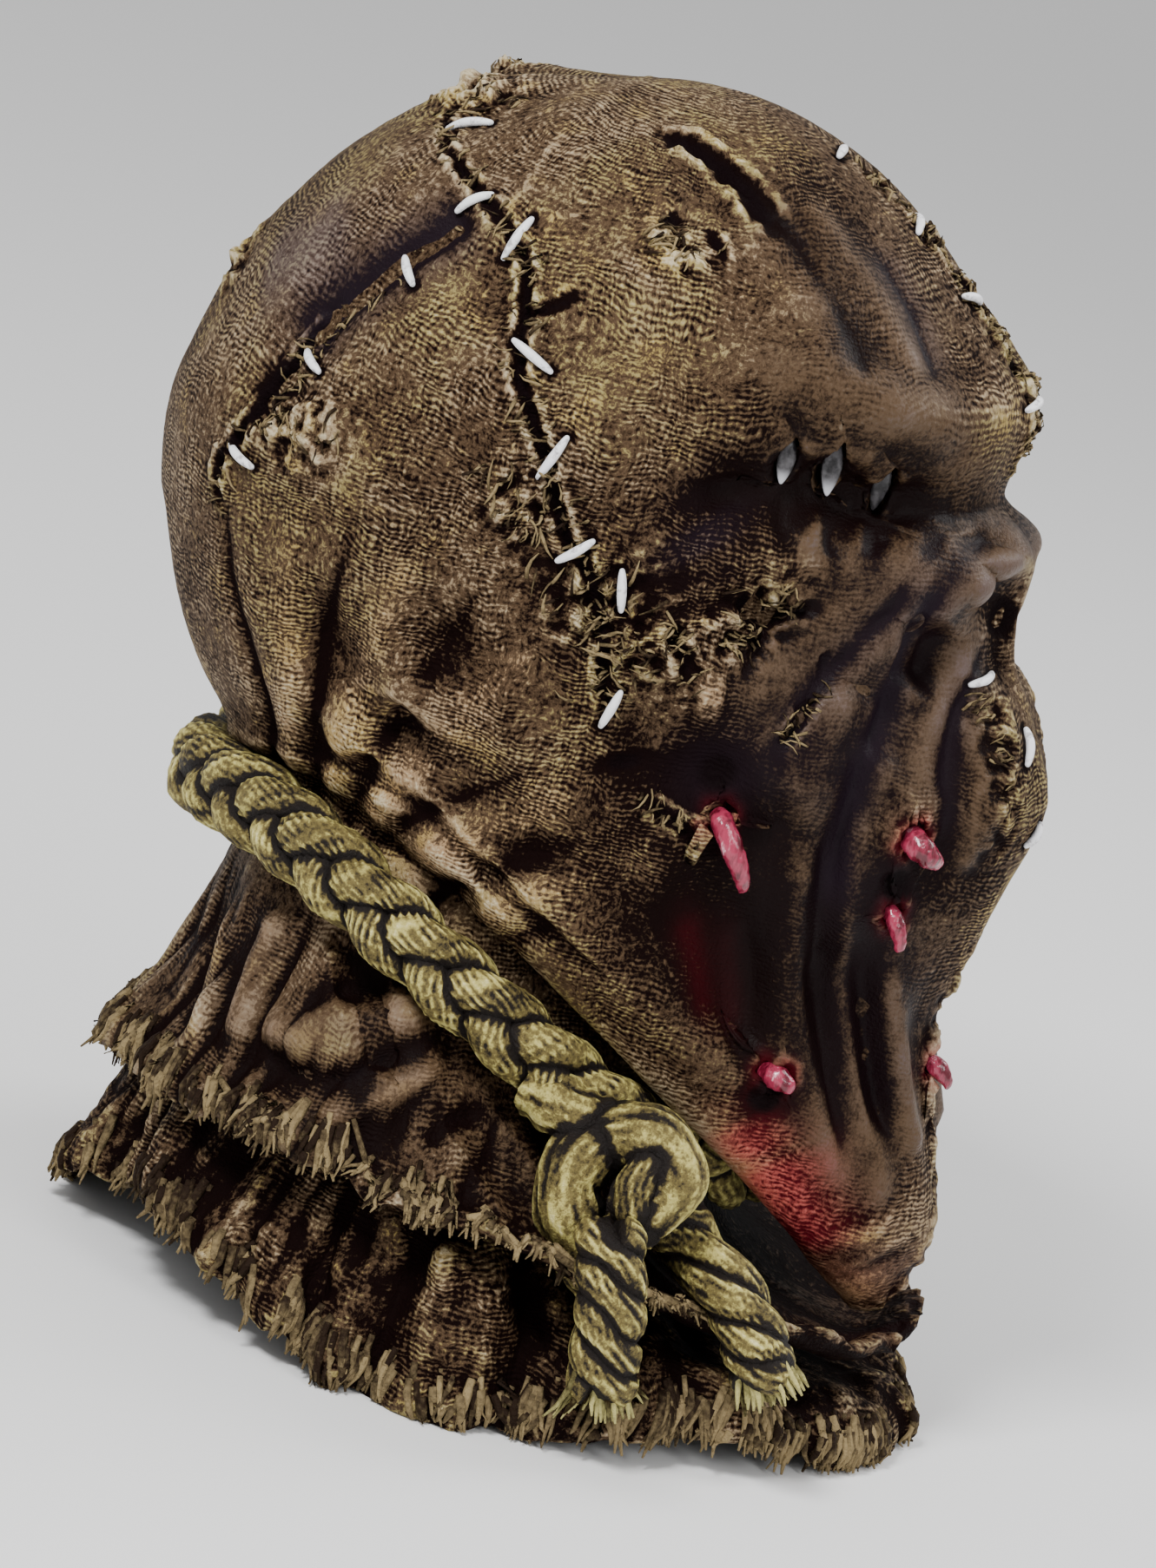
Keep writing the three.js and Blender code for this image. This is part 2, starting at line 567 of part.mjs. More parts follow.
function fangSolid(row, sign, air) {
  const { rootInside, mouthOutside, bend, steps, thickestAt } = fangShape;
  const turn = row.turn * degree * sign;
  const tipTurn = row.tipTurn * degree * sign;
  const reach = headHalfWidth * row.out;
  const root = overHood(row.row, turn, -wall - rootInside - air);
  const mouth = overHood(row.row, turn, mouthOutside);
  const middlePoint = overHood((row.row + row.tipRow) / 2, (turn + tipTurn) / 2, reach * bend);
  const tip = overHood(row.tipRow, tipTurn, reach);
  const route = new THREE.CatmullRomCurve3([root, mouth, middlePoint, tip]);
  const centres = Array.from({ length: steps + 1 }, (_, i) => route.getPoint(i / steps));
  const share = (t) => (t < thickestAt
    ? THREE.MathUtils.lerp(fangShape.root, 1, t / thickestAt)
    : THREE.MathUtils.lerp(1, fangShape.tip, (t - thickestAt) / (1 - thickestAt)));
  const radiusAt = (t) => headHalfWidth * row.radius * share(t) + air;
  const outward = skinFrame(row.row, turn).round;
  return sweep(tubeStations(centres, radiusAt, outward), facets.fang, false);
}

for (const row of fangs) {
  for (const [ending, sign] of sidesOf(row)) {
    hood = hood.subtract(solidOf(fangSolid(row, sign, clearance)));
    add(`fang_${row.name}${ending}`, fangSolid(row, sign, 0), fangFinish);
  }
}

// Eye slits: leaf-shaped holes through the hood, each with a sliver in it
const leafEnd = 0.04;  // the leaf's blunt ends, as a share of its length

function leafSolid(row, sign, air, halfDepth) {
  const turn = row.turn * degree * sign;
  const { down, round, out } = skinFrame(row.row, turn);
  const lean = row.lean * degree;
  const along = down.clone().multiplyScalar(Math.cos(lean)).addScaledVector(round, sign * Math.sin(lean));
  const across = out.clone().cross(along).normalize();
  const centre = overHood(row.row, turn, -wall / 2);
  const steps = 5;
  const stations = [];
  for (let i = 0; i <= steps; i++) {
    const share = THREE.MathUtils.lerp(leafEnd, 1 - leafEnd, i / steps);
    const swell = Math.sin(Math.PI * share);
    stations.push({
      centre: centre.clone().addScaledVector(along, (share - 0.5) * (slitLength * row.size + 2 * air)),
      across,
      out,
      width: 0.5 * slitWidth * row.size * swell + air,
      depth: halfDepth * (air > 0 ? 1 : swell),
    });
  }
  return sweep(stations, facets.slit, false);
}

const throughWall = 4 * wall;
for (const row of slits) {
  for (const [ending, sign] of sidesOf(row)) {
    hood = hood.subtract(solidOf(leafSolid(row, sign, clearance, throughWall)));
    add(`eye${ending}_${row.name}`, leafSolid(row, sign, 0, slitDepth / 2), eyeFinish);
  }
}

const hoodGeometry = geometryOf(hood);
add('hood', hoodGeometry, sackFinish);
const hoodFaces = facesOf(hoodGeometry);

// Stitches: short bowed threads that lie over the seams and grow thin towards their ends
const stitchTaper = 0.55;
const stitchBow = 0.5;

function stitchSolid(row, sign) {
  const turn = row.turn * degree * sign;
  const { down, round, out } = skinFrame(row.row, turn);
  const slant = row.slant * degree;
  const along = down.clone().multiplyScalar(Math.cos(slant)).addScaledVector(round, sign * Math.sin(slant));
  const middlePoint = overHood(row.row, turn, 0);
  const steps = 3;
  const half = (stitchLength * row.length) / 2;
  const centres = [];
  for (let i = 0; i <= steps; i++) {
    const share = (2 * i) / steps - 1;
    const start = middlePoint.clone().addScaledVector(along, half * share);
    const radius = stitchRadius * (1 - stitchTaper * share * share);
    const seated = laidOn(hoodFaces, start, out, throughWall, radius + clearance);
    centres.push(seated.addScaledVector(out, stitchRadius * stitchBow * (1 - share * share)));
  }
  const radiusAt = (t) => stitchRadius * (1 - stitchTaper * (2 * t - 1) ** 2);
  return sweep(tubeStations(centres, radiusAt, out), facets.stitch, false);
}

for (const row of stitches) {
  for (const [ending, sign] of sidesOf(row)) {
    add(`stitch_${row.name}${ending}`, stitchSolid(row, sign), stitchFinish);
  }
}

// Rope round the neck, in the groove of the hood. Three strands show as lobes that turn along it.
const grooveRow = 22;
const ropeSteps = 50;
const strandTurns = 12;
const lobe = 0.04;        // how far the lobes stand out, as a share of the rope's radius
const ropeSeat = 1.07;    // from the rope's middle to its seat, as a share of its radius
const tailSeat = 1.12;
// From where the rope is laid on, in radii: under the jaw from near by, or it would lie outside the jaw
const laidFrom = { jaw: 1.3, nape: 2 };

const strandLobes = (angle, twist) => 1 - lobe + lobe * Math.cos(3 * angle + twist);
const napeShare = (turn) => 0.5 - 0.5 * Math.cos(turn);
const ropeRadiusAt = (turn) => THREE.MathUtils.lerp(frontRopeRadius, napeRopeRadius, napeShare(turn));

const outwardAt = (turn) => new THREE.Vector3(-Math.sin(turn), -Math.cos(turn), 0);

function ropeCentre(turn) {
  const start = skinPoint(hoodSections, grooveRow, turn);
  const radius = ropeRadiusAt(turn);
  const far = radius * THREE.MathUtils.lerp(laidFrom.jaw, laidFrom.nape, napeShare(turn));
  return laidOn(hoodFaces, start, outwardAt(turn), far, radius * ropeSeat + clearance);
}

const ropeCentres = Array.from({ length: ropeSteps }, (_, n) => ropeCentre((2 * Math.PI * n) / ropeSteps));

// Direction from the mask's axis to a point, level
const fromAxis = (point) => new THREE.Vector3(point.x, point.y + maskDepth / 2, 0).normalize();

function ropeSolid() {
  const stations = ropeCentres.map((centre, n) => {
    const before = ropeCentres[(n + ropeSteps - 1) % ropeSteps];
    const after = ropeCentres[(n + 1) % ropeSteps];
    const along = after.clone().sub(before).normalize();
    const across = fromAxis(centre).cross(along).normalize();
    const radius = ropeRadiusAt((2 * Math.PI * n) / ropeSteps);
    return { centre, across, out: across.clone().cross(along).normalize(), width: radius, depth: radius };
  });
  const twistPerStep = (2 * Math.PI * strandTurns) / ropeSteps;
  return sweep(stations, facets.rope, true, (angle, n) => strandLobes(angle, twistPerStep * n));
}

const ropeGeometry = ropeSolid();
add('rope_ring', ropeGeometry, ropeFinish);

// Rope ends: they hang from the knot and lie on the collar
const seatFaces = facesOf(hoodGeometry, collar, ropeGeometry);
const tailSteps = 10;

function tailCentres(route) {
  const reach = 1.2 * headHalfWidth;
  const rough = new THREE.CatmullRomCurve3(route.map(({ turn, up }) => (
    outwardAt(turn * degree).multiplyScalar(reach).add(new THREE.Vector3(0, -maskDepth / 2, maskHeight * up))
  )));
  return Array.from({ length: tailSteps + 1 }, (_, i) => {
    const point = rough.getPoint(i / tailSteps);
    return laidOn(seatFaces, point, fromAxis(point), reach / 2, tailRadius * tailSeat + clearance);
  });
}

// The frayed end of a tail is wider
const brush = { from: 0.7, wider: 0.12 };

function tailSolid(centres, air) {
  const radiusAt = (t) => tailRadius * (1 + brush.wider * THREE.MathUtils.smoothstep(t, brush.from, 1)) + air;
  const stations = tubeStations(centres, radiusAt, fromAxis(centres[0]));
  return sweep(stations, facets.tail, false, strandLobes);
}

// Knot: three strands looped through each other beside the rope, fused to one body. out, down: how far its
// middle lies from the rope's. size: of the loops. All in radii of a strand.
const knotTurn = 47 * degree;
const knotPlace = { out: 1.2, down: 0.95, size: 0.55, start: 0.3, overlap: 2.6 };
const knotSeat = 1.08;

function knotStrand(share) {
  const outward = outwardAt(knotTurn);
  const upward = new THREE.Vector3(0, 0, 1);
  const sideways = upward.clone().cross(outward).normalize();
  const centre = ropeCentre(knotTurn).addScaledVector(outward, knotStrandRadius * knotPlace.out);
  centre.addScaledVector(upward, -knotStrandRadius * knotPlace.down);
  const unit = knotStrandRadius * knotPlace.size;
  const steps = 6;
  const centres = [];
  for (let i = 0; i <= steps; i++) {
    const t = 2 * Math.PI * (share + (i / steps - 0.5) / knotPlace.overlap) + knotPlace.start;
    const point = centre.clone()
      .addScaledVector(sideways, unit * (Math.sin(t) + 2 * Math.sin(2 * t)))
      .addScaledVector(upward, unit * (Math.cos(t) - 2 * Math.cos(2 * t)))
      .addScaledVector(outward, -unit * Math.sin(3 * t));
    const distance = knotStrandRadius * knotSeat + clearance;
    const seat = laidOn(seatFaces, point, outward, 6 * knotStrandRadius, distance);
    const lifted = seat.dot(outward) > point.dot(outward) ? seat : point;
    centres.push(lifted.clone());
  }
  return solidOf(sweep(tubeStations(centres, () => knotStrandRadius, outward), facets.knot, false));
}

let knot = knotStrand(0).add(knotStrand(1 / 3)).add(knotStrand(2 / 3));
for (const [name, route] of Object.entries(tailRoutes)) {
  const centres = tailCentres(route);
  knot = knot.subtract(solidOf(tailSolid(centres, clearance)));
  add(name, tailSolid(centres, 0), ropeFinish);
}
add('rope_knot', geometryOf(knot), ropeFinish);

// The origin is on the floor, under the middle of the mask's box
const box = new THREE.Box3().setFromObject(mask);
const centreOfBox = box.getCenter(new THREE.Vector3());
for (const mesh of mask.children) mesh.geometry.translate(-centreOfBox.x, -centreOfBox.y, -box.min.z);

export default mask;
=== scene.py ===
import math
import random

import bmesh
import bpy
import numpy as np
from mathutils import Matrix, Vector, noise
from mathutils.bvhtree import BVHTree
from mathutils.kdtree import KDTree


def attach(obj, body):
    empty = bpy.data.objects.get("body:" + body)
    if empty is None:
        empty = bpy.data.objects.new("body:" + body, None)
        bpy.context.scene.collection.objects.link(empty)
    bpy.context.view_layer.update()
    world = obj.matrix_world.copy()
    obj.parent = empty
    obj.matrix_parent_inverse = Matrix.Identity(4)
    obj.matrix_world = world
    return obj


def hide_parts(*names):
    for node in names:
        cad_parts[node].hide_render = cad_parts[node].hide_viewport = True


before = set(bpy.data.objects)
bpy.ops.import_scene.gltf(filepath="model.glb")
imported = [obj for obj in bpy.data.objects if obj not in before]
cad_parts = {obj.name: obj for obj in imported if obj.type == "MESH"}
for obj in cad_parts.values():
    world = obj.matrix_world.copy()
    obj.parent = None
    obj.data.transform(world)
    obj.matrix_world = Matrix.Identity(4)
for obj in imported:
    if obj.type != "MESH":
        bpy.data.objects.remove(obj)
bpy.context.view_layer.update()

MM = 0.001
MIDDLE = 0.00195                            # x of the mask's middle plane
HEAD = Vector((MIDDLE, 0.02, 0.25))         # middle of the head
NECK_Y = 0.012                              # y of the neck's middle
ON_FLOOR = 0.0002                           # lowest place for a vertex
dice = random.Random(7)

# The photograph's camera: where it stands, its image axes, and its focal length in the photograph's pixels
IMAGE = Vector((1331, 1806))
FOCAL = 7407
EYE = Vector((-1.8626, -0.3283, 0.6749))
IMAGE_BACK = Vector((-0.951, -0.168, 0.259)).normalized()
IMAGE_UP = IMAGE_BACK.cross(Vector((0.238, -0.933, 0.269))).normalized()
IMAGE_RIGHT = IMAGE_UP.cross(IMAGE_BACK).normalized()


def pixel_ray(x, y):
    """Direction from the camera through a pixel of the photograph."""
    across = IMAGE_RIGHT * (x - IMAGE.x / 2) + IMAGE_UP * (IMAGE.y / 2 - y)
    return (across - IMAGE_BACK * FOCAL).normalized()


# ---------------------------------------------------------------- meshes
def linked(name, mesh):
    made = bpy.data.objects.new(name, mesh)
    bpy.context.scene.collection.objects.link(made)
    return made


def node_copy(node, name):
    """A new object with a merged copy of a CAD node's mesh."""
    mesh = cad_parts[node].data.copy()
    made = linked(name, mesh)
    shape = bmesh.new()
    shape.from_mesh(mesh)
    bmesh.ops.remove_doubles(shape, verts=shape.verts, dist=0.02 * MM)
    shape.to_mesh(mesh)
    shape.free()
    mesh.materials.clear()
    return made


def only(piece):
    bpy.ops.object.select_all(action="DESELECT")
    bpy.context.view_layer.objects.active = piece
    piece.select_set(True)


def tree_of(*meshes):
    """Search tree over the faces of some meshes."""
    points, faces = [], []
    for mesh in meshes:
        start = len(points)
        points += [v.co.copy() for v in mesh.vertices]
        faces += [[start + i for i in p.vertices] for p in mesh.polygons]
    return BVHTree.FromPolygons(points, faces)


def solids(*nodes):
    return [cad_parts[node].data for node in nodes]


def columns(items, field, width, kind=float):
    """A field of each item of a mesh, as an array with one row for each."""
    flat = np.empty(len(items) * width, kind)
    items.foreach_get(field, flat)
    return flat.reshape(-1, width)


def coords(mesh):
    return columns(mesh.vertices, "co", 3)


def set_coords(mesh, points):
    mesh.vertices.foreach_set("co", points.ravel())
    mesh.update()


def normals(mesh):
    return columns(mesh.vertex_normals, "vector", 3)


def edge_pairs(mesh):
    return columns(mesh.edges, "vertices", 2, int)


def near_tree(places):
    """Search tree that finds the nearest of some places, with its number and its distance."""
    tree = KDTree(len(places))
    for i, place in enumerate(places):
        tree.insert(place, i)
    tree.balance()
    return tree


def averaged(values, pairs):
    """Mean of each vertex's neighbours."""
    count = len(values)
    share = np.bincount(pairs[:, 0], minlength=count) + np.bincount(pairs[:, 1], minlength=count)
    total = np.stack([
        np.bincount(pairs[:, 0], weights=column[pairs[:, 1]], minlength=count)
        + np.bincount(pairs[:, 1], weights=column[pairs[:, 0]], minlength=count) for column in values.T], axis=1)
    return total / np.maximum(share, 1)[:, None]


def relaxed(points, pairs, rounds):
    """Smooths facets away and keeps the size: each step in is followed by one out."""
    for _ in range(rounds):
        for step in (0.5, -0.52):
            points = points + step * (averaged(points, pairs) - points)
    return points


def bell(x):
    return np.exp(-x * x)


def rise(x, low, high):
    """Smooth step from 0 at low to 1 at high."""
    t = np.clip((x - low) / (high - low), 0, 1)
    return t * t * (3 - 2 * t)


def noise_of(points, size, seed=0.0):
    """Smooth noise from -1 to 1 at each point, with grains of a size in millimetres."""
    return np.array([noise.noise(Vector(p)) for p in points / (size * MM) + seed])


def store(mesh, name, *channels):
    """A colour attribute with up to three channels."""
    layer = mesh.attributes.new(name, "FLOAT_COLOR", "POINT")
    values = np.zeros((len(mesh.vertices), 4))
    values[:, 3] = 1
    for i, channel in enumerate(channels):
        values[:, i] = np.clip(channel, 0, 1)
    layer.data.foreach_set("color", values.ravel())


def turn_of(points):
    """Angle round the head, 0 at the face."""
    return np.arctan2(points[:, 0] - MIDDLE, -(points[:, 1] - HEAD.y))


# ---------------------------------------------------------------- where the photograph's pixels lie
sack_tree = tree_of(*solids("hood"))
collar_tree = tree_of(*solids("hood", "under_collar"))


def seen_at(tree, x, y):
    """Where the camera sees a pixel of the photograph on a tree's surface."""
    ray = pixel_ray(x, y)
    place = tree.ray_cast(EYE, ray)[0]
    if place is None:
        place = tree.find_nearest(EYE + ray * (HEAD - EYE).dot(ray))[0]
    return place


def on_midline(angle):
    """The sack's skin on the middle plane, at an angle over the horizon."""
    way = Vector((0, -math.cos(math.radians(angle)), math.sin(math.radians(angle))))
    return sack_tree.ray_cast(HEAD + way * 0.4, -way)[0]


def path_of(tree, line):
    """Places on a tree's surface for a line of pixels, or of angles on the middle plane."""
    if isinstance(line[0], tuple):
        return [seen_at(tree, x, y) for x, y in line]
    return [on_midline(angle) for angle in line]


SIDE_SEAM = (
    (520, 130), (516, 175), (536, 203), (570, 244), (605, 290), (608, 318), (605, 376), (596, 430),
    (612, 480), (628, 525), (640, 575), (655, 625), (682, 665), (695, 720), (694, 770), (697, 812))
FOREHEAD_SEAM = (68, 60, 52, 44, 37, 30, 24)

# Forms of the sack, each on both sides of the mask. Name, kind, half width and height in millimetres, paint,
# and the line that it follows: pixels of the photograph, or angles over the horizon on the middle plane.
# A gather is a crease that widens and deepens along its line, and a stain is paint alone. The dark paint is painted
# shade in creases, tears and holes.
FOLDS = (
    ("gather by the nape", "gather", 4.2, 4.0, dict(dark=.8), (255, 566), (261, 592), (266, 662), (283, 728),
     (303, 811), (318, 900)),
    ("gather behind", "gather", 4.6, 5.2, dict(dark=.9), (408, 600), (390, 660), (374, 730), (364, 800),
     (356, 880), (350, 940)),
    ("gather at the side", "gather", 5.0, 5.6, dict(dark=.9), (548, 680), (530, 720), (495, 775), (455, 835),
     (410, 905), (385, 970)),
    ("gather in front", "gather", 4.6, 4.6, dict(dark=.9), (610, 890), (530, 918), (470, 945), (420, 975),
     (395, 1010)),
    ("gather below", "gather", 4.6, 4.6, dict(dark=.9), (665, 970), (590, 995), (510, 1030), (465, 1070)),
    ("low gather", "gather", 4.2, 4.0, dict(dark=.8), (665, 1050), (600, 1082), (555, 1120), (530, 1160)),
    ("ridge by the nape", "ridge", 7.0, 1.6, dict(warm=.5), (335, 620), (330, 700), (335, 780), (338, 850),
     (340, 890)),
    ("ridge behind", "ridge", 7.0, 1.4, dict(warm=.5), (480, 620), (445, 710), (418, 790), (390, 860), (372, 920)),
    ("ridge at the side", "ridge", 8.0, 1.5, dict(warm=.7), (620, 740), (570, 790), (510, 850), (450, 910),
     (415, 950)),
    ("ridge in front", "ridge", 8.0, 1.3, dict(warm=.7), (680, 915), (610, 935), (550, 960), (490, 990),
     (450, 1015)),
    ("ridge below", "ridge", 7.0, 1.2, dict(warm=.6), (690, 1000), (620, 1025), (560, 1055), (520, 1085)),
    ("brow", "ridge", 9.0, 1.8, dict(satin=.7, wash_and_shade=.35), (870, 462), (925, 440), (990, 452), (1050, 482),
     (1105, 530)),
    ("temple", "hollow", 9.0, -3.0, dict(satin=.6, wash_and_shade=.5), (838, 545), (838, 590)),
    ("socket", "hollow", 9.0, -2.4, dict(satin=1., wash_and_shade=.3), (910, 545), (960, 560), (1020, 590)),
    ("forehead fold", "crease", 6.0, 2.2, dict(satin=.8, wash_and_shade=.3), (880, 230), (930, 300), (975, 380), (1000, 440)),
    ("forehead roll", "ridge", 6.5, 1.6, dict(satin=.6, warm=.4, wash_and_shade=.1), (920, 230), (985, 310), (1030, 390),
     (1060, 440)),
    ("second forehead fold", "crease", 5.0, 2.0, dict(satin=.8, violet=.4), (1000, 280), (1050, 360), (1080, 440)),
    ("hollow cheek", "hollow", 17.0, -3.0, dict(wash_and_shade=.35), (740, 880), (810, 930), (850, 1100), (870, 1230)),
    ("outer nose fold", "ridge", 7.5, 3.0, dict(warm=.9, satin=1.), (1090, 590), (1047, 619), (997, 683),
     (951, 719), (897, 765), (850, 830)),
    ("groove by it", "crease", 3.0, 2.0, dict(dark=.5, violet=.3, satin=1.), (1075, 630), (1020, 700), (975, 750),
     (925, 810), (890, 880)),
    ("second nose fold", "ridge", 7.0, 2.8, dict(warm=.3, satin=1.), (1150, 585), (1060, 655), (1010, 735),
     (965, 815), (938, 886), (925, 960), (920, 1040)),
    ("second groove", "crease", 3.6, 2.8, dict(dark=.7, violet=.6, satin=1.), (1129, 630), (1069, 695),
     (1038, 750), (1018, 820), (990, 886), (965, 970), (955, 1050)),
    ("inner nose fold", "ridge", 6.0, 2.2, dict(warm=.2, satin=1.), (1176, 625), (1133, 683), (1104, 736),
     (1083, 797), (1061, 851), (1051, 920)),
    ("groove by the muzzle", "crease", 3.2, 2.2, dict(dark=.5, violet=.5, satin=1.), (1135, 745), (1098, 820),
     (1085, 900), (1085, 970)),
    ("muzzle column", "ridge", 4.5, 2.2, dict(satin=1., warm=.3), (1105, 826), (1128, 880), (1122, 958),
     (1100, 1010)),
    ("cheekbone", "ridge", 9.0, 2.6, dict(warm=.7, light=.2), (800, 800), (835, 800)),
    ("jaw pleat behind", "crease", 4.5, 2.6, dict(dark=.5, satin=1.), (862, 1065), (866, 1145), (862, 1218)),
    ("jaw pleat", "crease", 4.5, 3.0, dict(dark=.6, satin=1.), (950, 960), (940, 1060), (945, 1150), (955, 1240),
     (965, 1340)),
    ("jaw slot", "crease", 5.0, 4.6, dict(dark=1.1, satin=1.), (985, 1100), (992, 1160), (1003, 1230),
     (1020, 1310)),
    ("jaw ridge behind", "ridge", 5.2, 2.6, dict(satin=1.), (915, 980), (915, 1128), (919, 1226), (943, 1292),
     (965, 1370)),
    ("jaw ridge", "ridge", 5.0, 2.8, dict(satin=1.), (970, 980), (970, 1128), (982, 1267), (1006, 1328),
     (1005, 1400)),
    ("jaw ridge in front", "ridge", 4.4, 3.0, dict(satin=1.), (1025, 1110), (1025, 1185), (1041, 1287),
     (1052, 1330)),
    ("cheek roll", "ridge", 10.0, 2.2, dict(), (740, 960), (760, 1060), (800, 1160), (850, 1260)),
    ("chin", "ridge", 12.0, 3.4, dict(warm=.3, light=.2), (985, 1400), (1000, 1450)),
)
TEARS = (
    ("side seam", "tear", 2.0, 1.5, dict(dark=1.4, fray=.9), *SIDE_SEAM),
    ("groove to the back", "hollow", 6.5, -2.0, dict(violet=.6, wash_and_shade=.9, satin=.8), (545, 247), (507, 272),
     (464, 295), (420, 328), (385, 365), (352, 405)),
    ("groove bottom", "crease", 3.2, 1.8, dict(dark=1.5), (545, 252), (507, 280), (464, 303), (420, 336),
     (388, 365)),
    ("back seam", "tear", 2.2, 1.5, dict(dark=1.4, fray=.7), (388, 355), (352, 402), (329, 440), (309, 463),
     (280, 500), (255, 530), (250, 575)),
    ("hole in the back seam", "hollow", 5.5, -2.2, dict(dark=2.4), (345, 425), (322, 445), (300, 468)),
    ("crown lump", "lumps", 8.0, 5.0, dict(fray=1.), (520, 112), (548, 106), (575, 120)),
    ("frayed flap below the hole", "lumps", 8.0, 2.8, dict(fray=1., light=.5), (300, 485), (345, 492), (395, 505)),
    ("side tear", "tear", 1.8, 1.1, dict(dark=1.), (611, 364), (640, 352), (671, 341)),
    ("gash", "tear", 3.8, 1.6, dict(dark=1.5), (763, 160), (794, 168), (832, 195), (863, 224), (892, 267)),
    ("small hole", "hollow", 3.0, -1.4, dict(dark=1.4), (767, 247), (782, 262)),
    ("lip of the small hole", "lumps", 5.0, 2.8, dict(fray=.6, light=.6), (757, 262), (771, 276), (780, 298),
     (820, 296)),
    ("second small hole", "tear", 2.0, 1.4, dict(dark=1.2), (818, 268), (834, 300)),
    ("frayed field", "lumps", 16.0, 2.0, dict(fray=1.), (660, 660), (690, 700), (720, 740), (700, 770)),
    ("star hole", "tear", 4.2, 2.2, dict(dark=1.6), (851, 683), (872, 712), (861, 747)),
    ("arm of the star", "tear", 2.8, 1.8, dict(dark=1.5), (872, 712), (900, 706), (930, 698)),
    ("lip of the star", "lumps", 7.5, 2.6, dict(fray=1., light=.4), (840, 697), (840, 735), (890, 690), (920, 715)),
    ("tear below the seam", "tear", 2.4, 1.6, dict(dark=1.3), (772, 726), (783, 747), (797, 783)),
    ("cheek slit", "tear", 2.0, 1.4, dict(dark=1.2), (936, 801), (920, 828), (901, 858)),
    ("short cheek slit", "tear", 1.5, 1.0, dict(dark=1.), (950, 750), (943, 768)),
    ("frayed patch", "lumps", 9.0, 1.6, dict(fray=.9), (560, 560), (600, 590), (630, 600)),
    ("bumps at the back", "lumps", 6.0, 2.6, dict(fray=.7), (262, 335), (300, 262)),
    ("thread scar", "ridge", 1.5, 0.9, dict(light=.6), (737, 92), (690, 128), (634, 175), (605, 222), (583, 246)),
    ("forehead seam", "tear", 2.2, 1.2, dict(dark=1.3, fray=.9), *FOREHEAD_SEAM),
    ("frayed forehead", "lumps", 8.0, 1.0, dict(fray=.7), 60, 52, 44, 37, 30),
    ("pleat under an eye", "ridge", 3.5, 1.3, dict(satin=1.), (935, 500), (945, 545), (940, 600), (930, 645)),
    ("second pleat under an eye", "ridge", 3.5, 1.5, dict(satin=1.), (995, 505), (1003, 550), (992, 605),
     (978, 650)),
    ("fold under the outer eye", "crease", 2.6, 1.4, dict(dark=.5), (903, 560), (899, 610), (908, 665)),
    ("fold under the middle eye", "crease", 2.6, 1.4, dict(dark=.5), (958, 575), (953, 625), (962, 675)),
    ("fold under the inner eye", "crease", 2.8, 1.4, dict(dark=.6), (1014, 612), (1003, 650)),
    ("nostril", "hollow", 7.0, -2.0, dict(dark=1.5), (1168, 690), (1145, 735)),
    ("muzzle rib", "lumps", 6.0, 1.6, dict(fray=.7), (1125, 800), (1150, 850), (1155, 920), (1140, 990)),
    ("cheek dent", "hollow", 8.0, -1.6, dict(dark=1.3), (719, 866), (722, 890)),
    ("second cheek dent", "hollow", 9.0, -1.6, dict(dark=1.3, violet=.4), (826, 893)),
    ("lip over the long fang", "tear", 2.4, 1.6, dict(dark=1.5), (744, 922), (768, 940), (805, 968)),
    ("hole of the long fang", "hollow", 5.5, -2.0, dict(dark=1.3), (829, 962), (838, 985)),
    ("hole by the muzzle", "hollow", 5.5, -2.2, dict(dark=2.), (1035, 1000), (1033, 1038)),
    ("lip of the stub", "tear", 3.2, 1.8, dict(dark=1.2, red=.4), (1040, 950), (1062, 955)),
    ("hole of the jaw fang", "hollow", 6.5, -2.0, dict(dark=1.8), (880, 1264)),
    ("lip of the jaw fang", "lumps", 7.0, 2.4, dict(), (868, 1240), (900, 1245)),
    ("chin stitch holes", "lumps", 5.0, 1.8, dict(fray=.6), -30, -40, -50, -56),
)
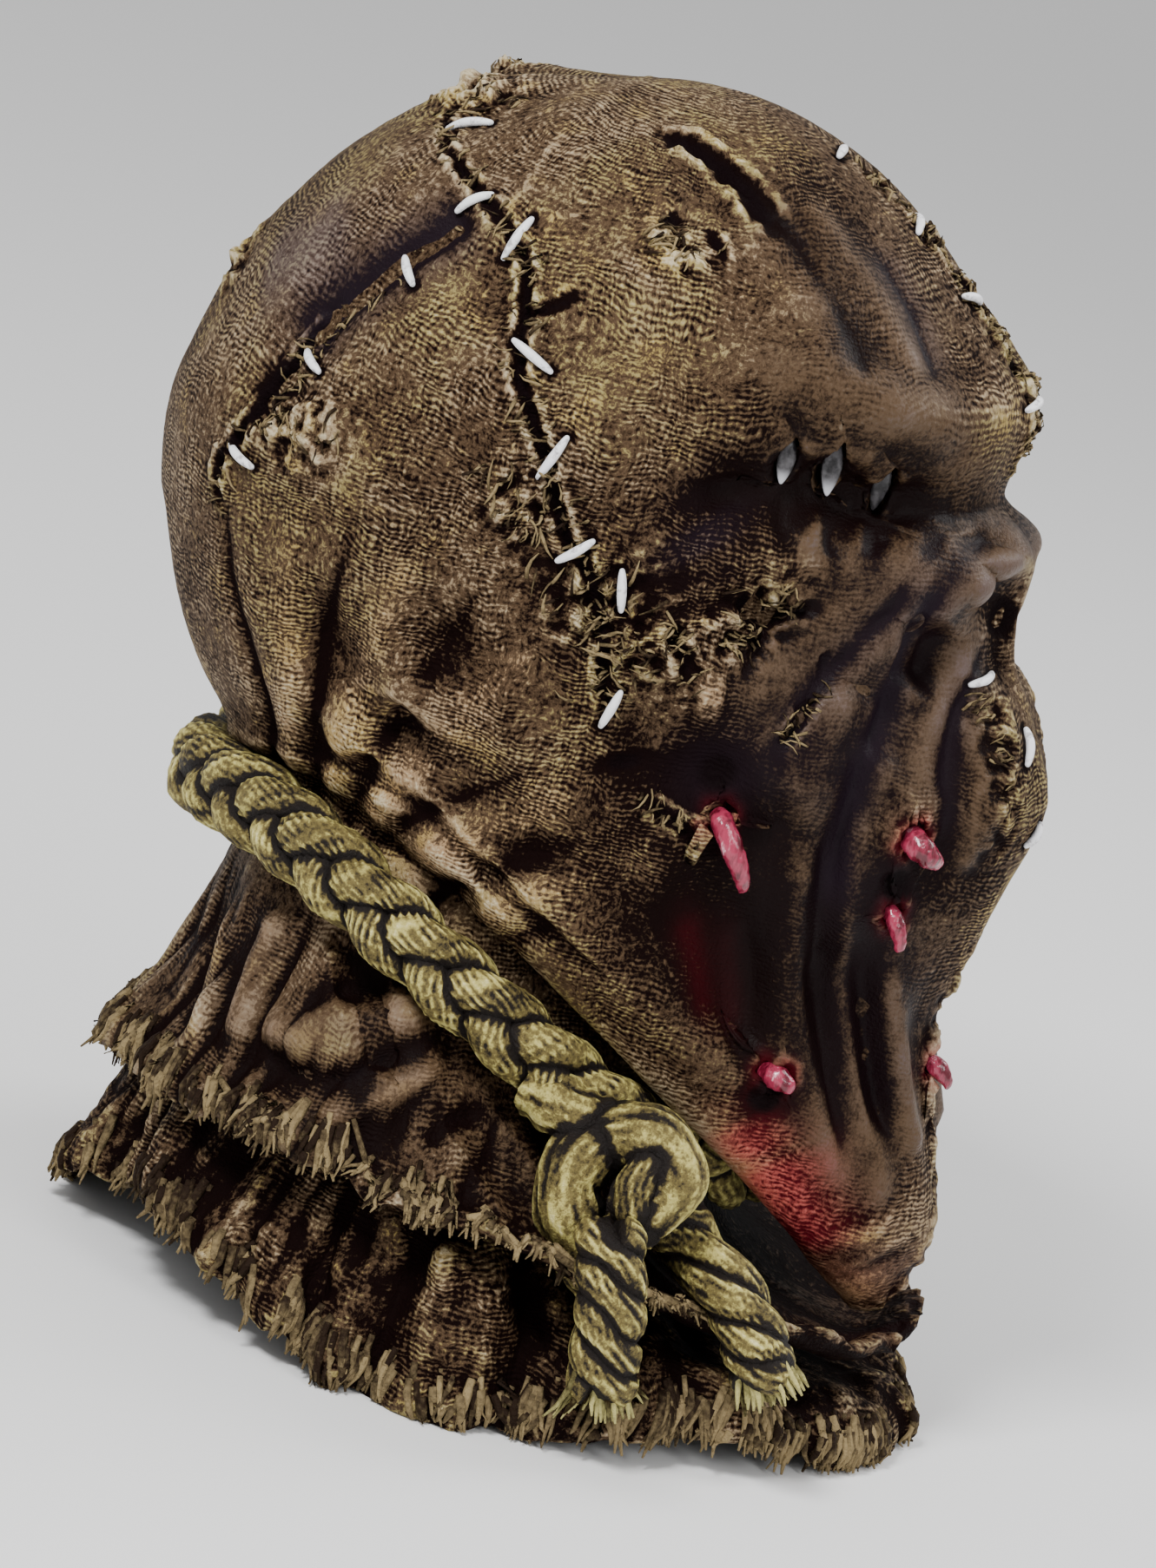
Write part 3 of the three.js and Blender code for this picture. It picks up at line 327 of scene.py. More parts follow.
# Stains and painted shade: name, half width in millimetres, paint and line. The red, orange, peach and violet marks
# are the mask's colour; the dark ones are partly a dark wash and partly painted shade over hollows and folds.
STAINS_AND_SHADE = (
    ("red streak", 3.5, dict(red=.30), (790, 1050), (800, 1110), (820, 1180)),
    ("red streak behind", 2.5, dict(red=.30), (840, 1060), (846, 1140), (850, 1190)),
    ("orange stain", 7.0, dict(red=.75, warm=.7), (850, 1290), (872, 1335)),
    ("red stain", 8.5, dict(red=1.1), (885, 1330), (905, 1380), (935, 1440)),
    ("peach chin", 12.0, dict(red=.10, warm=1., light=.5, wash_and_shade=-.9), (930, 1450), (985, 1480),
     (1000, 1440)),
    ("violet back", 12.0, dict(violet=.55, satin=.4), (420, 255), (350, 290), (300, 310)),
    ("violet temple", 9.0, dict(violet=.6), (800, 600), (820, 640)),
    ("dark temple", 14.0, dict(wash_and_shade=1.1), (845, 520), (850, 610), (880, 660)),
    ("dark eyes", 15.0, dict(wash_and_shade=.6, satin=.8), (910, 540), (970, 580), (1030, 600), (960, 640)),
    ("dark nose folds", 17.0, dict(wash_and_shade=.55, satin=.9, violet=.25), (1090, 650), (1020, 760),
     (950, 860), (920, 950)),
    ("dark jaw", 18.0, dict(wash_and_shade=.45, satin=.5), (880, 950), (890, 1080), (900, 1200), (960, 1290)),
    ("dark jaw in front", 15.0, dict(wash_and_shade=.60, satin=.8, violet=.2), (990, 960), (1010, 1080),
     (1020, 1200), (1030, 1290)),
    ("dark cheek", 15.0, dict(wash_and_shade=.65), (715, 860), (760, 960), (790, 1080), (800, 1180)),
    ("dark nose", 8.0, dict(wash_and_shade=.6, satin=.8, violet=.3), (1165, 595), (1185, 650)),
    ("dark muzzle", 11.0, dict(wash_and_shade=.75), (1110, 830), (1140, 900), (1130, 980), (1100, 1060)),
    ("dark forehead", 12.0, dict(wash_and_shade=.5), (900, 180), (1000, 300), (1070, 400)),
    ("dark side", 14.0, dict(wash_and_shade=.5), (600, 540), (640, 640), (720, 700), (800, 720)),
)
RUFFLE = (
    ("back pleat", "crease", 4.5, 3.4, dict(dark=.9), (300, 1060), (280, 1110), (265, 1160), (250, 1220)),
    ("side pleat", "crease", 5.5, 4.0, dict(dark=.9), (455, 1112), (400, 1140), (350, 1165)),
    ("flap's lower fold", "crease", 4.5, 3.4, dict(dark=.9), (500, 1195), (430, 1225), (400, 1245), (330, 1235),
     (292, 1200)),
    ("nape pleat", "crease", 4.0, 3.0, dict(dark=.9), (255, 1050), (230, 1120), (210, 1180)),
    ("pleat by the knot", "crease", 4.5, 3.0, dict(dark=.9), (560, 1280), (520, 1290), (490, 1320)),
    ("back ridge", "ridge", 5.5, 3.0, dict(warm=.4, satin=.3), (330, 1050), (300, 1100), (275, 1160), (262, 1200)),
    ("flap", "ridge", 7.0, 3.4, dict(warm=.4, satin=.4), (500, 1165), (430, 1180), (350, 1195), (300, 1185)),
    ("lower ridge", "ridge", 6.5, 3.4, dict(warm=.4, satin=.4), (520, 1220), (440, 1262), (340, 1315), (270, 1350)),
    ("nape ridge", "ridge", 3.6, 2.6, dict(warm=.3, light=.2), (270, 1040), (245, 1130), (225, 1210)),
)
COLLAR = (
    ("back fold", "crease", 4.5, 2.6, dict(dark=.8), (420, 1400), (425, 1450), (440, 1500)),
    ("fold by the apex", "crease", 4.5, 2.6, dict(dark=.8), (520, 1370), (500, 1430), (480, 1500)),
    ("fold under the knot", "crease", 4.5, 2.4, dict(dark=.8), (600, 1400), (615, 1480), (630, 1560)),
    ("fold between the ends", "crease", 4.5, 2.6, dict(dark=.8), (770, 1460), (790, 1530), (810, 1600)),
    ("front fold", "crease", 4.0, 2.4, dict(dark=.8), (930, 1500), (950, 1560), (960, 1620)),
    ("nape fold", "crease", 4.0, 2.4, dict(dark=.8), (340, 1400), (350, 1450), (380, 1500)),
    ("rising fold", "ridge", 4.5, 2.8, dict(warm=.4, light=.3), (560, 1290), (530, 1380), (505, 1460), (495, 1530)),
    ("falling fold", "ridge", 4.5, 2.6, dict(warm=.4, light=.3), (565, 1300), (590, 1390), (620, 1470),
     (650, 1540)),
    ("roll between the ends", "ridge", 4.0, 2.4, dict(light=.2), (740, 1460), (750, 1540), (745, 1600)),
    ("front flap", "ridge", 4.0, 2.4, dict(light=.3), (990, 1500), (1000, 1570), (1005, 1630)),
    ("nape lobe", "ridge", 4.5, 2.4, dict(light=.2), (300, 1400), (290, 1450), (270, 1490)),
)
# the broad dark paint is partly a dark wash of the mask and partly painted shade in hollows, under the jaw, below the
# rope and along the hems
PAINTS = ("dark", "violet", "warm", "red", "light", "fray", "satin", "wash_and_shade")
WIDE_PAINTS = ("violet", "fray", "red", "satin", "wash_and_shade")
SHOULDERS = dict(crease=0.22, gather=0.06)      # cloth heaped up beside a crease, as a share of its depth


# ---------------------------------------------------------------- sculpting
SHARP = 55           # degrees between faces at the edge of a skin
MOST_CUTS, ROUND_CUTS = 5, 2    # rounds of splitting, of which the first ones round the facets


def refined(piece, outwardness, fine, coarse):
    """Quads from the facets, then faces with edges no longer than fine on the outer skin and coarse inside."""
    shape = bmesh.new()
    shape.from_mesh(piece.data)
    outer = shape.faces.layers.int.new("outer")
    queue = [max(shape.faces, key=outwardness)]
    seen = set(queue)
    while queue:
        face = queue.pop()
        face[outer] = 1
        for edge in face.edges:
            if len(edge.link_faces) == 2 and edge.calc_face_angle(0) < math.radians(SHARP):
                fresh = [other for other in edge.link_faces if other not in seen]
                seen.update(fresh)
                queue += fresh
    bmesh.ops.join_triangles(shape, faces=shape.faces, angle_face_threshold=0.8, angle_shape_threshold=1.0)
    for step in range(MOST_CUTS):
        long = []
        for edge in shape.edges:
            limit = fine if any(face[outer] for face in edge.link_faces) else coarse
            if edge.calc_length() > limit * MM:
                long.append(edge)
        if not long:
            break
        bmesh.ops.subdivide_edges(shape, edges=long, cuts=1, use_grid_fill=True,
                                  smooth=1.0 if step < ROUND_CUTS else 0.0, smooth_falloff="LINEAR")
    shape.to_mesh(piece.data)
    shape.verts.index_update()
    skin = np.zeros(len(shape.verts), bool)
    for face in shape.faces:
        if face[outer]:
            for vert in face.verts:
                skin[vert.index] = True
    shape.free()
    return skin


def path_distance(points, path):
    """Distance in millimetres from each point to a line of points, and the share of the way along it."""
    best, share = np.full(len(points), 1e9), np.zeros(len(points))
    path = np.array(path)
    spans = max(len(path) - 1, 1)
    for i in range(spans):
        start, span = path[i], path[min(i + 1, len(path) - 1)] - path[i]
        along = np.clip((points - start) @ span / max(span @ span, 1e-12), 0, 1)
        far = np.linalg.norm(points - start - along[:, None] * span, axis=1)
        closer = far < best
        best[closer], share[closer] = far[closer], (i + along[closer]) / spans
    return best / MM, share


SURROUNDINGS = (3, 14, 50)      # rounds of smoothing that give the near, middle and wide surroundings


class Sculpt:
    """Heights in millimetres and paint for the vertices of a wall with an outer and an inner skin."""

    def __init__(self, piece, outer, tree):
        self.mesh, self.outer, self.tree = piece.data, outer, tree
        self.pairs = edge_pairs(self.mesh)
        self.points = relaxed(coords(self.mesh), self.pairs, 8)
        self.side = np.where(outer, 1.0, -1.0)
        self.paint = {name: np.zeros(len(outer)) for name in PAINTS}
        self.rough = noise_of(self.points, 3.0)
        self.lumps = noise_of(self.points, 5.5, 11.0)
        self.start()

    def start(self):
        """A new round of forms, on the shape as it is now."""
        set_coords(self.mesh, self.points)
        self.folded = self.points.copy()
        self.folded[:, 0] = MIDDLE - np.abs(self.points[:, 0] - MIDDLE)
        self.height = np.zeros(len(self.outer))

    def finish(self):
        self.points = self.points + normals(self.mesh) * (self.height * MM)[:, None]
        self.start()

    def above_floor(self):
        self.points[:, 2] = np.maximum(self.points[:, 2], ON_FLOOR)
        self.start()

    def shape(self, form, both_skins=False):
        _, kind, width, height, paint, *line = form
        path = [tuple(place) for place in path_of(self.tree, line)]
        low, high = np.min(path, axis=0) - width * 4 * MM, np.max(path, axis=0) + width * 4 * MM
        near = np.all((self.folded > low) & (self.folded < high), axis=1)
        chosen = np.nonzero(near if both_skins else near & self.outer)[0]
        if not len(chosen):
            return
        far, share = path_distance(self.folded[chosen], path)
        rough, lumps = self.rough[chosen], self.lumps[chosen]
        ends = np.clip(np.minimum(share, 1 - share) * len(path) * 1.5 + 0.2, 0, 1) if len(path) > 1 else 1
        lip = 0
        if kind == "gather":
            ends = np.clip(share * 1.2 + 0.05, 0, 1)
            width = width * (0.7 + 0.4 * share)
        if kind in SHOULDERS:
            shoulder = SHOULDERS[kind] * bell((far - 2.0 * width) / (0.9 * width))
            rise_of = shoulder - np.exp(-np.abs(far) / (0.7 * width))
        elif kind == "tear":
            ragged = np.abs(far + (rough * 0.8 + lumps * 0.5) * width)
            lip = bell((ragged - 1.6 * width) / (0.6 * width)) * np.clip(0.7 + 1.2 * lumps, 0, 2)
            rise_of = lip - np.exp(-(ragged / (0.8 * width)) ** 4)
        elif kind == "lumps":
            rise_of = bell(far / width) * (0.3 + 1.3 * lumps + 0.7 * rough)
        else:
            rise_of = bell(far / width)
        self.height[chosen] += height * rise_of * ends * self.side[chosen]
        # dark paint down the middle of a crease, tear or hole is painted shade
        core = np.exp(-np.abs(far) / (0.45 * width)) if kind in SHOULDERS else bell(far / (0.85 * width))
        wide = bell(far / (width * 1.6))
        for channel, strength in paint.items():
            self.paint[channel][chosen] += strength * ends * (wide if channel in WIDE_PAINTS else core)
        self.paint["light"][chosen] += 0.3 * lip * ends

    def by(self, nodes, reach):
        """Outer vertices close to some CAD nodes, with how far they are in millimetres."""
        tree = near_tree(np.concatenate([coords(mesh) for mesh in solids(*nodes)]))
        near = np.zeros(len(self.outer), bool)
        for mesh in solids(*nodes):
            low, high = coords(mesh).min(axis=0) - reach * MM, coords(mesh).max(axis=0) + reach * MM
            near |= np.all((self.points > low) & (self.points < high), axis=1)
        chosen = np.nonzero(near & self.outer)[0]
        far = np.array([tree.find(self.points[i])[2] for i in chosen]) / MM
        return chosen, far

    def hem(self, top):
        """The outer skin's lower edge, and how far every vertex is from it in millimetres."""
        a, b = self.pairs.T
        rim = np.nonzero(self.outer[a] != self.outer[b])[0]
        ends = np.unique(np.where(self.outer[a[rim]], a[rim], b[rim]))
        ends = ends[self.points[ends, 2] < top]
        tree = near_tree(self.points[ends])
        far = np.full(len(self.outer), 1e3)
        for i in np.nonzero(self.points[:, 2] < top + 0.03)[0]:
            far[i] = tree.find(self.points[i])[2] / MM
        return ends, far

    def write(self):
        """Stores the paint, and how far the shape stands out of its near, middle and wide surroundings."""
        self.above_floor()
        normal, smooth, out = normals(self.mesh), self.points, []
        done = 0
        for rounds in SURROUNDINGS:
            for _ in range(rounds - done):
                mean = averaged(smooth, self.pairs)
                smooth = np.where(self.outer[:, None], mean, smooth)
            done = rounds
            out.append(np.einsum("ij,ij->i", self.points - smooth, normal) / MM)
        # tan where the shape stands out and dark where it sinks in: partly the mask's dry-brushed paint, partly
        # painted highlight and painted shade
        relief = 0.5 + 0.30 * out[0] + 0.085 * out[1] + 0.022 * out[2] + 0.13 * self.paint["light"]
        store(self.mesh, "relief_dark_violet", relief, self.paint["dark"], self.paint["violet"])
        store(self.mesh, "warm_red_fray", self.paint["warm"], self.paint["red"], self.paint["fray"])
        store(self.mesh, "satin_wash_and_shade", self.paint["satin"], self.paint["wash_and_shade"])


# ---------------------------------------------------------------- materials
class Paint:
    """Adds nodes to one material."""

    def __init__(self, name):
        self.material = bpy.data.materials.new(name)
        self.material.use_nodes = True
        self.tree = self.material.node_tree
        self.shader = self.tree.nodes["Principled BSDF"]

    def plug(self, socket, value):
        if hasattr(value, "links"):
            self.tree.links.new(value, socket)
        elif socket.type == "RGBA" and len(value) == 3:
            socket.default_value = (*value, 1)
        else:
            socket.default_value = value

    def node(self, kind, inputs=None, **settings):
        made = self.tree.nodes.new(kind)
        for key, value in settings.items():
            setattr(made, key, value)
        for key, value in (inputs or {}).items():
            self.plug(made.inputs[key], value)
        return made

    def math(self, operation, a, b=0.0, c=0.0, clamp=False):
        return self.node("ShaderNodeMath", {0: a, 1: b, 2: c}, operation=operation, use_clamp=clamp).outputs[0]

    def vector(self, operation, a, b):
        return self.node("ShaderNodeVectorMath", {0: a, 1: b}, operation=operation).outputs[0]

    def less(self, a, b):
        return self.math("SUBTRACT", a, b)

    def plus(self, a, b, share=1.0):
        return self.math("MULTIPLY_ADD", b, share, a)

    def times(self, a, b, clamp=False):
        return self.math("MULTIPLY", a, b, clamp=clamp)

    def channels(self, name):
        colour = self.node("ShaderNodeAttribute", attribute_name=name).outputs["Color"]
        return self.node("ShaderNodeSeparateColor", {"Color": colour}).outputs

    def place(self):
        return self.node("ShaderNodeTexCoord").outputs["Object"]

    def noise(self, vector, scale, detail=2.0, rough=0.5, output="Fac"):
        return self.node("ShaderNodeTexNoise", {"Vector": vector, "Scale": scale, "Detail": detail,
                                                "Roughness": rough}).outputs[output]

    def swing(self, vector, scale, detail=2.0, rough=0.5):
        """Noise about zero, from about -1 to 1."""
        return self.math("MULTIPLY_ADD", self.noise(vector, scale, detail, rough), 3.0, -1.5)

    def drifted(self, vector, scale, size, detail=2.0):
        """A place moved by noise of a scale, by about a size in metres."""
        drift = self.noise(vector, scale, detail, output="Color")
        drift = self.vector("SUBTRACT", drift, (0.5, 0.5, 0.5))
        drift = self.node("ShaderNodeVectorMath", {0: drift, "Scale": size * 2}, operation="SCALE").outputs[0]
        return self.vector("ADD", vector, drift)

    def ramp(self, value, low, high):
        return self.node("ShaderNodeMapRange", {"Value": value, "From Min": low, "From Max": high},
                         interpolation_type="SMOOTHSTEP").outputs[0]

    def mix(self, share, a, b):
        made = self.node("ShaderNodeMix", data_type="RGBA")
        for index, value in ((0, share), (6, a), (7, b)):
            self.plug(made.inputs[index], value)
        return made.outputs[2]

    def bump(self, height, distance, under=None):
        inputs = {"Height": height, "Distance": distance * MM}
        if under is not None:
            inputs["Normal"] = under
        return self.node("ShaderNodeBump", inputs).outputs[0]

    def finish(self, colour, roughness, normal, **constants):
        for key, value in (("Base Color", colour), ("Roughness", roughness), ("Normal", normal)):
            self.plug(self.shader.inputs[key], value)
        for key, value in constants.items():
            self.shader.inputs[key.replace("_", " ")].default_value = value
        return self.material


WEFT_STEP, WARP_THREADS = 0.00155, 330.0     # metres from thread to thread, and radians of wave per turn
BULGE = 0.105                                # metres of cloth per radian over the crown


def burlap_paint(name, base_shade):
    """Latex cast from burlap: near black in its hollows, dry-brushed with tan where threads and folds stand up,
    partly the mask's paint and partly painted shade and painted highlight.
    """
    paint = Paint(name)
    place = paint.place()
    relief, dark, violet = paint.channels("relief_dark_violet")[:3]
    warm, red, fray = paint.channels("warm_red_fray")[:3]
    satin, wash_and_shade = paint.channels("satin_wash_and_shade")[:2]
    # threads of the cloth: weft lines down from the crown, and warp lines round the head
    wavy = paint.drifted(paint.drifted(place, 38.0, 0.0060), 230.0, 0.0015, 3.0)
    off = paint.vector("SUBTRACT", wavy, tuple(HEAD))
    x, y, z = paint.node("ShaderNodeSeparateXYZ", {0: off}).outputs
    flat = paint.math("SQRT", paint.math("ADD", paint.times(x, x), paint.times(y, y)))
    over = paint.math("ARCTAN2", flat, paint.math("MAXIMUM", z, 0.0))
    down = paint.less(paint.times(over, BULGE), paint.math("MINIMUM", z, 0.0))
    weft = paint.math("SINE", paint.times(down, 2 * math.pi / WEFT_STEP))
    turn = paint.math("ARCTAN2", x, paint.times(y, -1.0))
    warp = paint.math("SINE", paint.times(turn, WARP_THREADS))
    warp = paint.times(warp, paint.ramp(flat, 0.02, 0.05))
    coarse = paint.ramp(paint.noise(place, 45.0, 3.0, 0.6), 0.34, 0.60)
    pits = paint.swing(wavy, 560.0, 4.0, 0.70)
    grain = paint.swing(place, 1100.0, 3.0, 0.6)
    weave = paint.plus(paint.times(weft, 0.38), warp, 0.18)
    weave = paint.plus(paint.times(weave, coarse), pits, 1.0)
    weave = paint.times(weave, paint.less(1.0, paint.times(satin, 0.72, clamp=True)))
    weave = paint.plus(weave, grain, 0.30)
    tatter = paint.times(paint.swing(paint.drifted(place, 120.0, 0.004), 260.0, 4.0, 0.62), fray)
    # dry brushing: tan on raised places and near black in hollows, partly the mask's paint and partly painted
    # highlight and painted shade
    patches = paint.swing(place, 30.0, 4.0, 0.62)
    gain = paint.math("MULTIPLY_ADD", satin, -1.2, 3.0)
    high = paint.math("MULTIPLY_ADD", paint.less(relief, 0.5), gain, -0.14)
    # the dark paint lowers the brushing as painted shade, the broad dark paint partly as a dark wash and partly as
    # painted shade
    for layer, share in ((weave, 1.02), (patches, 0.42), (tatter, 1.1), (dark, -1.6), (wash_and_shade, -0.75)):
        high = paint.plus(high, layer, share)
    # darker all over by an amount of painted shade
    high = paint.less(high, base_shade)
    brown = paint.mix(paint.ramp(high, -0.75, 0.05), (0.0050, 0.0016, 0.0014), (0.080, 0.047, 0.024))
    hue = paint.noise(place, 20.0, 3.0, 0.6)
    khaki = paint.mix(paint.ramp(hue, 0.44, 0.60), (0.285, 0.205, 0.120), (0.275, 0.215, 0.075))
    ochre = paint.noise(place, 55.0, 3.0, 0.6)
    khaki = paint.mix(paint.times(paint.ramp(ochre, 0.52, 0.66), 0.7), khaki, (0.36, 0.25, 0.065))
    tan = paint.mix(paint.times(warm, 0.8, clamp=True), khaki, (0.37, 0.215, 0.100))
    rubbed = paint.times(satin, 1.05, clamp=True)
    tan = paint.mix(rubbed, tan, paint.mix(warm, (0.085, 0.056, 0.044), (0.155, 0.088, 0.046)))
    lit = paint.mix(paint.ramp(high, 0.0, 0.50), brown, tan)
    top = paint.mix(paint.ramp(high, 0.5, 1.4), lit, paint.mix(rubbed, (0.54, 0.45, 0.29), (0.175, 0.130, 0.100)))
    violets = paint.mix(paint.ramp(high, -0.5, 0.8), (0.016, 0.010, 0.018), (0.17, 0.145, 0.185))
    plum = paint.mix(paint.times(violet, 0.62, clamp=True), top, violets)
    blood = paint.mix(paint.ramp(high, -0.6, 0.6), (0.085, 0.003, 0.008), (0.50, 0.075, 0.070))
    stained = paint.mix(paint.times(red, 0.85, clamp=True), plum, blood)
    # near black where the dark paint is strongest: painted shade in creases, tears and holes
    deep = paint.mix(paint.ramp(dark, 0.45, 1.1), stained, (0.004, 0.0015, 0.002))
    # relief of the threads
    normal = paint.bump(paint.plus(paint.times(weave, 0.5), tatter, 1.0), 0.55)
    shine = paint.less(0.62, paint.times(satin, 0.24, clamp=True))
    gleam = paint.plus(paint.math("MULTIPLY_ADD", paint.ramp(high, -0.7, 0.5), 0.14, 0.025), satin, 0.03)
    paint.plug(paint.shader.inputs["Specular IOR Level"], gleam)
    return paint.finish(deep, shine, normal)


def rope_paint():
    """Yellow-olive strands with dark lines between their fibres, painted shade in those grooves and where strands
    press together, and painted highlight on raised fibres.
    """
    paint = Paint("painted rope")
    place = paint.place()
    groove, crevice = paint.channels("groove_crevice")[:2]
    fibre = paint.swing(place, 620.0, 4.0, 0.7)
    high = paint.plus(paint.math("MULTIPLY_ADD", groove, 1.35, -0.70), fibre, 0.50)
    high = paint.plus(high, paint.swing(place, 70.0, 4.0, 0.6), 0.45)
    # painted shade where strands press against each other, near black in the tightest crevices
    high = paint.plus(high, crevice, -1.3)
    body = paint.mix(paint.ramp(high, -0.50, 0.0), (0.008, 0.004, 0.002), (0.165, 0.125, 0.038))
    lit = paint.mix(paint.ramp(high, -0.05, 0.35), body, (0.52, 0.45, 0.135))
    top = paint.mix(paint.ramp(high, 0.30, 0.90), lit, (0.86, 0.78, 0.40))
    crevice_shaded = paint.mix(paint.ramp(crevice, 0.30, 0.95), top, (0.006, 0.003, 0.002))
    return paint.finish(crevice_shaded, 0.6, paint.bump(fibre, 0.45), Specular_IOR_Level=0.25)


def strand_paint(name, deep, pale):
    """Loose fibres of the sack or the rope, darker at their roots."""
    paint = Paint(name)
    shade, along = paint.channels("shade_along")[:2]
    lit = paint.plus(paint.times(shade, 0.80), along, 0.28)
    lit = paint.plus(lit, paint.swing(paint.place(), 500.0, 3.0), 0.22)
    colour = paint.mix(paint.ramp(lit, 0.15, 0.85), deep, pale)
    return paint.finish(colour, 0.7, paint.bump(paint.swing(paint.place(), 900.0), 0.3), Specular_IOR_Level=0.06)


def thread_paint():
    """White painted thread with grey patches."""
    paint = Paint("white thread")
    grey_patches = paint.noise(paint.place(), 420.0, 3.0, 0.6)
    colour = paint.mix(paint.ramp(grey_patches, 0.30, 0.50), (0.42, 0.40, 0.42), (0.88, 0.88, 0.90))
    return paint.finish(colour, 0.35, paint.bump(grey_patches, 0.3), Specular_IOR_Level=0.4)


def fang_paint():
    """Wet pink horn, crimson in its grooves, with pale streaks painted as highlights."""
    paint = Paint("wet fang")
    streak = paint.noise(paint.node("ShaderNodeMapping", {"Vector": paint.place(), "Scale": (1, 1, 0.35)}).outputs[0],
                         260.0, 4.0, 0.6)
    colour = paint.mix(paint.ramp(streak, 0.38, 0.58), (0.09, 0.003, 0.012), (0.34, 0.030, 0.070))
    # pale streaks: painted highlights along the horn
    pale = paint.mix(paint.ramp(streak, 0.62, 0.72), colour, (0.74, 0.36, 0.42))
    return paint.finish(pale, 0.20, paint.bump(streak, 0.9), Specular_IOR_Level=0.35,
                        Coat_Weight=0.5, Coat_Roughness=0.05)


def eye_paint():
    """Glossy grey slivers with a painted highlight, whitish at the bottom."""
    paint = Paint("wet eye")
    # painted highlight, strongest at the bottom of a sliver
    low = paint.channels("shade_along")[0]
    cloud = paint.noise(paint.place(), 240.0, 3.0, 0.6)
    grey = paint.mix(paint.ramp(paint.plus(cloud, low, 0.3), 0.45, 0.85), (0.008, 0.007, 0.008), (0.10, 0.095, 0.10))
    colour = paint.mix(paint.ramp(low, 0.66, 0.95), grey, (0.50, 0.50, 0.53))
    return paint.finish(colour, 0.28, paint.bump(cloud, 0.4), Specular_IOR_Level=0.25)


def dress(piece, material, slot, *nodes):
    piece.data.materials.clear()
    piece.data.materials.append(material)
    piece.data.polygons.foreach_set("use_smooth", [True] * len(piece.data.polygons))
    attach(piece, "root")
    if nodes:
        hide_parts(*nodes)
    return piece


head_material = burlap_paint("painted burlap latex", 0.02)
# the lower collar, under the ruffle and the rope, is the same burlap darkened all over as painted shade
collar_material = burlap_paint("collar latex in painted shade", 0.55)
rope_material = rope_paint()
fibre_material = strand_paint("loose sack fibre", (0.018, 0.010, 0.006), (0.27, 0.20, 0.10))
tassel_material = strand_paint("loose rope fibre", (0.020, 0.012, 0.004), (0.48, 0.43, 0.17))
thread_material = thread_paint()
fang_material = fang_paint()
eye_material = eye_paint()

# ---------------------------------------------------------------- line of the rope
ring_points = coords(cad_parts["rope_ring"].data)
ring_turns = turn_of(ring_points)
RING_MARKS = 48
ring_line = []
for k in range(RING_MARKS):
    turn = 2 * math.pi * k / RING_MARKS - math.pi
    gap = np.angle(np.exp(1j * (ring_turns - turn)))
    ring_line.append(Vector(np.average(ring_points, axis=0, weights=bell(gap / 0.08))))


def rope_height(points):
    """Height of the rope's middle at each point's turn round the neck."""
    return np.interp(turn_of(points), np.linspace(-math.pi, math.pi, RING_MARKS + 1),
                     [p.z for p in ring_line] + [ring_line[0].z])


def pleated(work, deepest, drawn_in):
    """Folds of gathered cloth, in millimetres: deeper and deeper below the rope, and drawn in above it."""
    turn = turn_of(work.points)
    drop = (rope_height(work.points) - work.points[:, 2]) / MM
    ring = np.stack([np.cos(turn), np.sin(turn)], axis=1) * 0.095
    wide = np.column_stack([ring, work.points[:, 2] * 0.22])
    large = 2.4 * np.abs(noise_of(wide, 21.0, 3.3)) - 0.55
    small = 2.4 * np.abs(noise_of(wide, 9.0, 6.1)) - 0.55
    share = rise(drop, 6, 60)
    # painted shade in the deepest pleats below the rope
    work.paint["dark"] += work.outer * np.clip(-large - 0.25, 0, 1) * 1.6 * share
    return deepest * share * (large + 0.35 * small) - drawn_in * bell((drop + 21) / 10) * rise(np.abs(turn), 0.5, 1.0)


def push_out(work, distance):
    """Moves a wall outwards, level, by a distance in millimetres at each vertex."""
    away = work.points - np.array((MIDDLE, NECK_Y, 0))
    away[:, 2] = 0
    away /= np.maximum(np.linalg.norm(away, axis=1), 1e-6)[:, None]
    work.points = work.points + away * (distance * MM)[:, None]


def ragged_hem(work, top):
    """Tufts along the lower edge."""
    ends, far = work.hem(top)
    turn = turn_of(work.points)
    near = np.clip(1 - far / 14.0, 0, 1)
    wobble = noise_of(work.points, 7.0, 5.0)
    tufts = np.sin(turn * 54 + wobble * 3.0) * 0.6 + np.sin(turn * 71 + wobble * 4) * 0.5
    work.points[:, 2] += near * (3.2 * noise_of(work.points, 8.0, 9.0) + tufts + 0.8) * MM
    push_out(work, near * work.outer * (tufts + 0.4))
    # painted shade between the tufts; the broad dark paint along the hem is partly a dark wash and partly painted
    # shade
    work.paint["dark"] += near * np.clip(-tufts, 0, 1) * 0.7
    work.paint["fray"] += near * 0.7
    work.paint["wash_and_shade"] += near * 0.45
    return ends


def gathered(work, folds, deepest, drawn_in, grain, seed, top):
    """Pleats, folds, unevenness and a torn lower edge. Gives the vertices of the edge."""
    push_out(work, pleated(work, deepest, drawn_in))
    work.start()
    for form in folds:
        work.shape(form, both_skins=True)
    work.height += work.side * 0.9 * noise_of(work.points, grain, seed)
    work.finish()
    ends = ragged_hem(work, top)
    work.above_floor()
    return ends


# ---------------------------------------------------------------- the sack
sack = node_copy("hood", "burlap_sack")
skin = refined(sack, lambda face: face.calc_center_median().z, 2.15, 7.0)
work = Sculpt(sack, skin, sack_tree)
hem_ends = gathered(work, FOLDS + RUFFLE, 5.0, 3.2, 28.0, 3.0, 0.105)
drop = rope_height(work.points) - work.points[:, 2]
